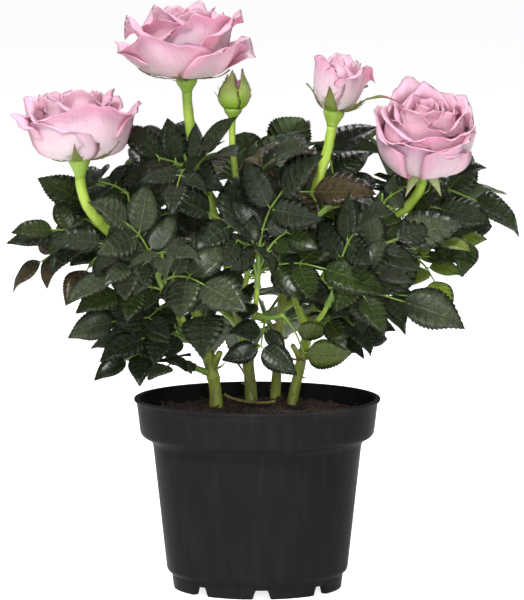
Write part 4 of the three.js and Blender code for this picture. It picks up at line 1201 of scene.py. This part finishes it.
def leaflets_of(start, bearing, rise, faces, size, draw):
    """The place and turn of each leaflet of one spray, by the solids' own rule and in its order of draws."""
    light = heading(*faces)
    path, leaflets = [start], []
    louvre = math.radians(upto(draw, *LOUVRE))
    for i, run in enumerate(SPRAY_STEPS):
        t = heading(bearing, rise - SPRAY["arch"] * i / 2)
        end = path[-1] + t * (run * size)
        path.append(end)
        wobble = Vector((draw() - 0.5, draw() - 0.5, draw() - 0.5)) * WOBBLE
        up = light + wobble
        up = (up - t * up.dot(t)).normalized()
        side = t.cross(up).normalized()
        for k in (0,) if i == 2 else (-1, 1):
            swing = math.radians(k * SPRAY["angle"] * (0.9 + 0.2 * draw()))
            along = t * math.cos(swing) + side * math.sin(swing)
            across = up.cross(along).normalized()
            normal = up * math.cos(k * louvre) + across * math.sin(k * louvre)
            grown = (1 if i == 2 else SIDE_GROWN + SIDE_GAIN * i) * (0.9 + 0.2 * draw())
            leaflets.append({"foot": end + t * (-0.9 if i == 2 else 0), "along": along,
                             "across": normal.cross(along).normalized(), "normal": normal,
                             "length": LEAFLET_LENGTH * size * grown})
    return path, leaflets


def through(path, steps):
    """Points of a smooth line through the points of path."""
    ends = [path[0] * 2 - path[1]] + list(path) + [path[-1] * 2 - path[-2]]
    made = []
    for i in range(len(path) - 1):
        a, b, c, d = ends[i : i + 4]
        for k in range(steps):
            t = k / steps
            made.append(0.5 * ((2 * b) + (c - a) * t + (2 * a - 5 * b + 4 * c - d) * t**2
                               + (3 * b - a - 3 * c + d) * t**3))
    return made + [path[-1]]


def twig_of(mass):
    """The curve of a mass's twig, as the solids have it, and how far its foot stands off the middle of its limb."""
    parent = limbs[mass["on"]]
    at = mass["at"]
    away = heading(mass["bearing"], mass["rise"])
    along = abs(away.dot(parent["curve"].tangent(at)))
    off = CLEAR if at == 1 else (parent["radius"](at) + CLEAR + 0.7 * TWIG_FOOT * along) / math.sqrt(1 - along**2)
    start = parent["curve"].point(at) + away * off
    end = start + heading(mass["bearing"], mass["rise"] + 12) * mass["length"]
    bow = start + away * (mass["length"] / 2)
    return Bend(start, lerp(start, bow, 2 / 3), lerp(end, bow, 2 / 3), end), away * off


class Foliage:
    """Grows the masses one after another and keeps what a new leaf has to stay clear of."""

    def __init__(self):
        self.heaps = {tint: Heap() for tint in TINTS}
        self.twigs, self.stalks = Heap(), Heap()
        self.boxes, self.trees, self.count = [], [], 0
        self.fixed = [self.tree_of(n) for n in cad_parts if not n.startswith("leaves_")]

    def tree_of(self, node):
        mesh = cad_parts[node].data
        points = [v.co / MM for v in mesh.vertices]
        return BVHTree.FromPolygons(points, [tuple(p.vertices) for p in mesh.polygons])

    def free(self, leaflet):
        """Whether the blade crosses no limb, bloom or pot and no leaf that grew before it."""
        corners, tree = plain_blade(leaflet)
        if any(tree.overlap(f) for f in self.fixed):
            return False
        low, high = np.min(corners, axis=0), np.max(corners, axis=0)
        boxes = np.array(self.boxes)
        near = np.nonzero(np.all((boxes[:, 0] < high) & (boxes[:, 1] > low), axis=1))[0]
        return not any(tree.overlap(self.trees[i]) for i in near)

    def keep(self, leaflet, tint, draw):
        corners, tree = plain_blade(leaflet)
        self.trees.append(tree)
        self.boxes.append((np.min(corners, axis=0), np.max(corners, axis=0)))
        add_blade(self.heaps[tint], leaflet, draw)
        foot, along = leaflet["foot"], leaflet["along"]
        stalk = [foot, foot + along * STALKLET * 0.6, foot + along * (STALKLET + 1.2)]
        swept(self.stalks, stalk, STALKLET_RADII, 5)
        self.count += 1

    def spray(self, path, kept, tint, size, draw, light):
        """A stalk with its stipules and the leaflets that it keeps."""
        end = len(path) if any(k >= 4 for k, _ in kept) else 3
        line = through(path[:end], STALK_STEPS)
        shares = [i / (len(line) - 1) for i in range(len(line))]
        radii = [lerp(SPRAY["foot"], SPRAY["tip"], t) * (0.7 + 0.3 * size) for t in shares]
        radii[0] *= STALK_FLARE
        swept(self.stalks, line, radii, STALK_SIDES)
        away = (path[1] - path[0]).normalized()
        side = away.cross(light).normalized()
        for k in (-1, 1):
            along = (away + side * (STIPULE["spread"] * k)).normalized()
            self.wing(path[0] + away * 0.6, along, side * k, STIPULE["length"] * size)
        for _, leaflet in kept:
            self.keep(leaflet, tint, draw)

    def wing(self, foot, along, side, length):
        """One stipule: a narrow green wing at the stalk's foot."""
        normal = along.cross(side).normalized() * STIPULE["lift"]
        wide = side * (STIPULE["half"] * length)
        halfway = foot + along * length * 0.5
        middle = halfway + wide * 0.3
        points = [foot, halfway + wide, foot + along * length, halfway - wide * 0.3, middle + normal, middle - normal]
        self.stalks.add([tuple(p) for p in points], BLADE_FACES)

    def grow(self, mass):
        draw, own = seeded(mass["seed"]), seeded(mass["seed"] + OWN_DRAWS)
        tree = self.tree_of(mass["name"])
        curve, back = twig_of(mass)
        light = heading(*mass["faces"])
        self.twig(curve, back, TWIG_FOOT, TWIG_TIP)
        sprays = mass["sprays"]
        if isinstance(sprays, int):
            sprays = [self.fanned(mass, k, draw) for k in range(sprays)]
        tints = mass["tints"].split()
        for k, (share, bearing, rise, size) in enumerate(sprays):
            root = curve.along(min(share, LAST_ROOT))
            path, leaflets = leaflets_of(root, bearing, rise, mass["faces"], size, draw)
            kept = [(i, leaflet) for i, leaflet in enumerate(leaflets) if self.held(tree, leaflet)]
            if kept:
                self.spray(path, kept, tints[k % len(tints)], size, own, light)

    def fanned(self, mass, k, draw):
        """A spray's place, bearing, rise and size: they leave to the left and right by turns, the last one ahead."""
        share = FIRST_LEAF + (1 - FIRST_LEAF) * k / (mass["sprays"] - 1)
        last = share == 1
        leaves = mass["bearing"] + (0 if last else (1 if k % 2 else -1) * upto(draw, *FAN_SWING))
        return share, leaves, mass["rise"] + (FAN_LAST_RISE if last else FAN_RISE * draw()), upto(draw, *FAN_SIZE)

    def held(self, tree, leaflet):
        corners = blade_corners(leaflet)
        return all(tree.find_nearest(corners[i])[3] < HELD for i in (1, 2, 3))

    def twig(self, curve, back, thick, thin):
        shares = [i / TWIG_STEPS for i in range(TWIG_STEPS + 1)]
        path = [curve.point(0) - back] + [curve.point(t) for t in shares]
        radii = [thick * TWIG_FLARE] + [lerp(thick, thin, t) for t in shares]
        swept(self.twigs, path, radii, TWIG_SIDES, relief=bark_relief(self.count))

    def refine(self, mass):
        """Finer twigs from the mass's own, each with a spray or two, inside the mass's reach."""
        draw = seeded(mass["seed"] + FINE_DRAWS)
        curve, _ = twig_of(mass)
        low, high = (np.array(c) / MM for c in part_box(mass["name"]))
        tints = mass["tints"].split()
        for k in range(FINE_TWIGS):
            root = curve.along(upto(draw, *FINE_SHARE))
            bearing = mass["bearing"] + FINE_TURN * (draw() - 0.5)
            away = heading(bearing, mass["rise"] + FINE_RISE * draw() - FINE_FALL)
            tip = root + away * upto(draw, *FINE_LENGTH)
            size = upto(draw, *FINE_SIZE)
            bow = Bend(root, lerp(root, tip, 0.33), lerp(root, tip, 0.66) - Vector((0, 0, FINE_SAG)), tip)
            drawn = False
            for place, fan in FINE_SPRAYS:
                leaves = bearing + fan * (draw() - 0.5)
                rise = SPRAY_RISE * draw() - SPRAY_FALL
                path, leaflets = leaflets_of(bow.along(place), leaves, rise, mass["faces"], size, draw)
                kept = [(i, leaflet) for i, leaflet in enumerate(leaflets)
                        if self.within(leaflet, low, high) and self.free(leaflet)]
                tint = tints[int(draw() * len(tints)) % len(tints)]
                if len(kept) >= FEWEST_LEAFLETS:
                    self.spray(path, kept, tint, size, draw, heading(*mass["faces"]))
                    drawn = True
            if drawn:
                self.twig(bow, away * 0.8, *FINE_RADII)

    def within(self, leaflet, low, high):
        corners = np.array(blade_corners(leaflet)[1:4])
        return bool(np.all(corners > low - SLACK) and np.all(corners < high + SLACK))


def vein_effect():
    """The veins of a toothed blade, from its surface coordinates: Vein is 1 on them, Height is lowest there, Net is
    the fine network between them, and the last output is 1 along the blade's rim, where a painted highlight goes."""
    veins = Effect("leaf_veins", {"Veins": 7.0, "Cells": 26.0}, ("Vein", "Height", "Net", "Rim_highlight"))
    marks = veins.node("ShaderNodeUVMap").outputs[0]
    where = veins.node("ShaderNodeSeparateXYZ", Vector=marks)
    across = veins.maths("ABSOLUTE", where.outputs[1])
    sway = veins.times(veins.noise(marks, 5.0, 2.0), 0.5)
    rows = veins.maths("ADD", veins.times(where.outputs[0], veins.given["Veins"]), sway)
    off = veins.maths("ABSOLUTE", veins.maths("SUBTRACT", veins.maths("FRACT", rows), 0.5))
    side = veins.span(off, 0.0, 0.09, 1.0, 0.0)
    side = veins.times(side, veins.span(across, 0.5, 1.0, 1.0, 0.0))
    rib = veins.span(across, 0.015, 0.06, 1.0, 0.0)
    both = veins.maths("MAXIMUM", rib, veins.times(side, 0.7))
    veins.feed(veins.result["Vein"], both)
    cells = veins.node("ShaderNodeTexVoronoi", {"feature": "DISTANCE_TO_EDGE"},
                       Vector=veins.stretched(marks, (1.0, 0.32, 1.0)), Scale=veins.given["Cells"]).outputs[0]
    net = veins.span(cells, 0.0, 0.16)
    veins.feed(veins.result["Net"], net)
    swell = veins.maths("ADD", veins.times(net, 0.35), veins.times(off, 0.6))
    veins.feed(veins.result["Height"], veins.maths("SUBTRACT", swell, veins.times(both, 0.6)))
    # The band along the blade's rim that carries a painted highlight.
    veins.feed(veins.result["Rim_highlight"], veins.span(across, 0.93, 1.0))
    return veins


LEAF_VEINS = vein_effect()


def leaf_faces(tint):
    """The two finishes of one kind of leaf: waxy and glossy above, pale and dull below."""
    upper, second, under, vein = TINTS[tint]
    top = Finish("leaf_" + tint, Roughness=0.3, Specular_IOR_Level=0.2, Coat_Weight=0.3, Coat_Roughness=0.25)
    back = Finish("leaf_" + tint + "_under", Roughness=0.62, Specular_IOR_Level=0.3)
    (marks, lines), (back_marks, back_lines) = (
        (face.grain(70.0, 1200.0), LEAF_VEINS.placed_in(face, Veins=7.0, Cells=26.0)) for face in (top, back))
    green = top.mix(top.span(marks["Blotch"], 0.3, 0.7), upper, second)
    green = top.mix(top.span(lines["Net"], 0.0, 1.0, 0.32, 0.0), green, vein)
    green = top.mix(top.times(lines["Vein"], 0.6), green, vein)
    # A painted highlight along the upper face's rim: the colour turns pale olive towards the edge.
    top.colour(top.mix(top.times(lines["Rim_highlight"], 0.4), green, paint(122, 120, 82)))
    top.roughness(top.span(marks["Blotch"], 0.3, 0.7, 0.24, 0.36))
    top.bump(top.maths("ADD", lines["Height"], top.times(marks["Grain"], 0.2)), 1.0, 0.0009)
    darker = tuple(lerp(a, b, 0.3) for a, b in zip(under, second))
    pale = back.mix(back.span(back_marks["Blotch"], 0.3, 0.7), under, darker)
    back.colour(back.mix(back.times(back_lines["Vein"], 0.6), pale, vein))
    back.bump(back_lines["Vein"], 0.4, 0.0006)
    return [top.material, back.material]


def make_foliage():
    foliage = Foliage()
    masses = [dict(zip(MASS_KEYS, ("leaves_" + name, *row))) for name, *row in MASSES]
    for mass in masses:
        foliage.grow(mass)
    for mass in masses:
        foliage.refine(mass)
    names = [mass["name"] for mass in masses]
    shoot_bark = bark("shoot_bark", paint(116, 146, 58), paint(92, 122, 46), paint(120, 84, 60), 0.5)
    set_piece(foliage.twigs.mesh("twigs", [shoot_bark]), names)
    set_piece(foliage.stalks.mesh("leaf_stalks", [shoot_bark]), names)
    for tint, heap in foliage.heaps.items():
        if heap.count:
            set_piece(heap.mesh("leaves_" + tint, leaf_faces(tint)), names)


make_foliage()


# ---- Floor, light and camera ----
# A plain pale card that runs far behind the pot, lit by three soft round lamps and a dim white sky. The camera looks
# a little down on the rim through a long lens.
IMAGE_HEIGHT = 600
FOCUS_PIXELS = 5351.67
SENSOR = 36.0
CAMERA_DISTANCE = 2.6
CAMERA_RISE = 6.6
CAMERA_AIM = Vector((0.0023, 0, 0.1406))
FLOOR_REACH = 40.0
WORLD_STRENGTH = 0.16
LAMPS = (  # name, place, size and power
    ("key", (-0.5, -1.1, 1.6), 0.45, 38), ("front", (0.1, -1.7, 0.5), 0.6, 17), ("back", (0.3, 1.4, 1.3), 0.8, 12),
)
LAMP_AIM = Vector((0, 0, 0.15))


def make_floor():
    mesh = bpy.data.meshes.new("floor")
    corners = [(x * FLOOR_REACH, y * FLOOR_REACH, 0) for x, y in ((-1, -1), (1, -1), (1, 1), (-1, 1))]
    mesh.from_pydata(corners, [], [(0, 1, 2, 3)])
    card = Finish("floor_card", Roughness=0.9, Specular_IOR_Level=0.1, Emission_Strength=0.8)
    marks = card.grain(2.0, 300.0)
    card.colour(card.mix(marks["Blotch"], paint(244, 244, 244), paint(248, 248, 248)))
    mesh.materials.append(card.material)
    floor = bpy.data.objects.new("floor", mesh)
    bpy.context.scene.collection.objects.link(floor)


def add_lamp(name, place, size, power):
    lamp = bpy.data.lights.new(name, "AREA")
    lamp.shape = "DISK"
    lamp.size = size
    lamp.energy = power
    holder = bpy.data.objects.new(name, lamp)
    holder.location = place
    holder.rotation_euler = (LAMP_AIM - Vector(place)).to_track_quat("-Z", "Y").to_euler()
    bpy.context.scene.collection.objects.link(holder)


def make_studio():
    scene = bpy.context.scene
    scene.view_settings.view_transform = "Standard"
    world = bpy.data.worlds.new("studio")
    world.use_nodes = True
    world.node_tree.nodes["Background"].inputs["Color"].default_value = (1, 1, 1, 1)
    world.node_tree.nodes["Background"].inputs["Strength"].default_value = WORLD_STRENGTH
    scene.world = world
    for lamp in LAMPS:
        add_lamp(*lamp)


def make_camera():
    lens = bpy.data.cameras.new("camera")
    lens.sensor_width = SENSOR
    lens.lens = SENSOR * FOCUS_PIXELS / IMAGE_HEIGHT
    camera = bpy.data.objects.new("camera", lens)
    away = heading(270, CAMERA_RISE)
    camera.location = CAMERA_AIM + away * CAMERA_DISTANCE
    camera.rotation_euler = (-away).to_track_quat("-Z", "Y").to_euler()
    bpy.context.scene.collection.objects.link(camera)
    bpy.context.scene.camera = camera


make_floor()
make_studio()
make_camera()
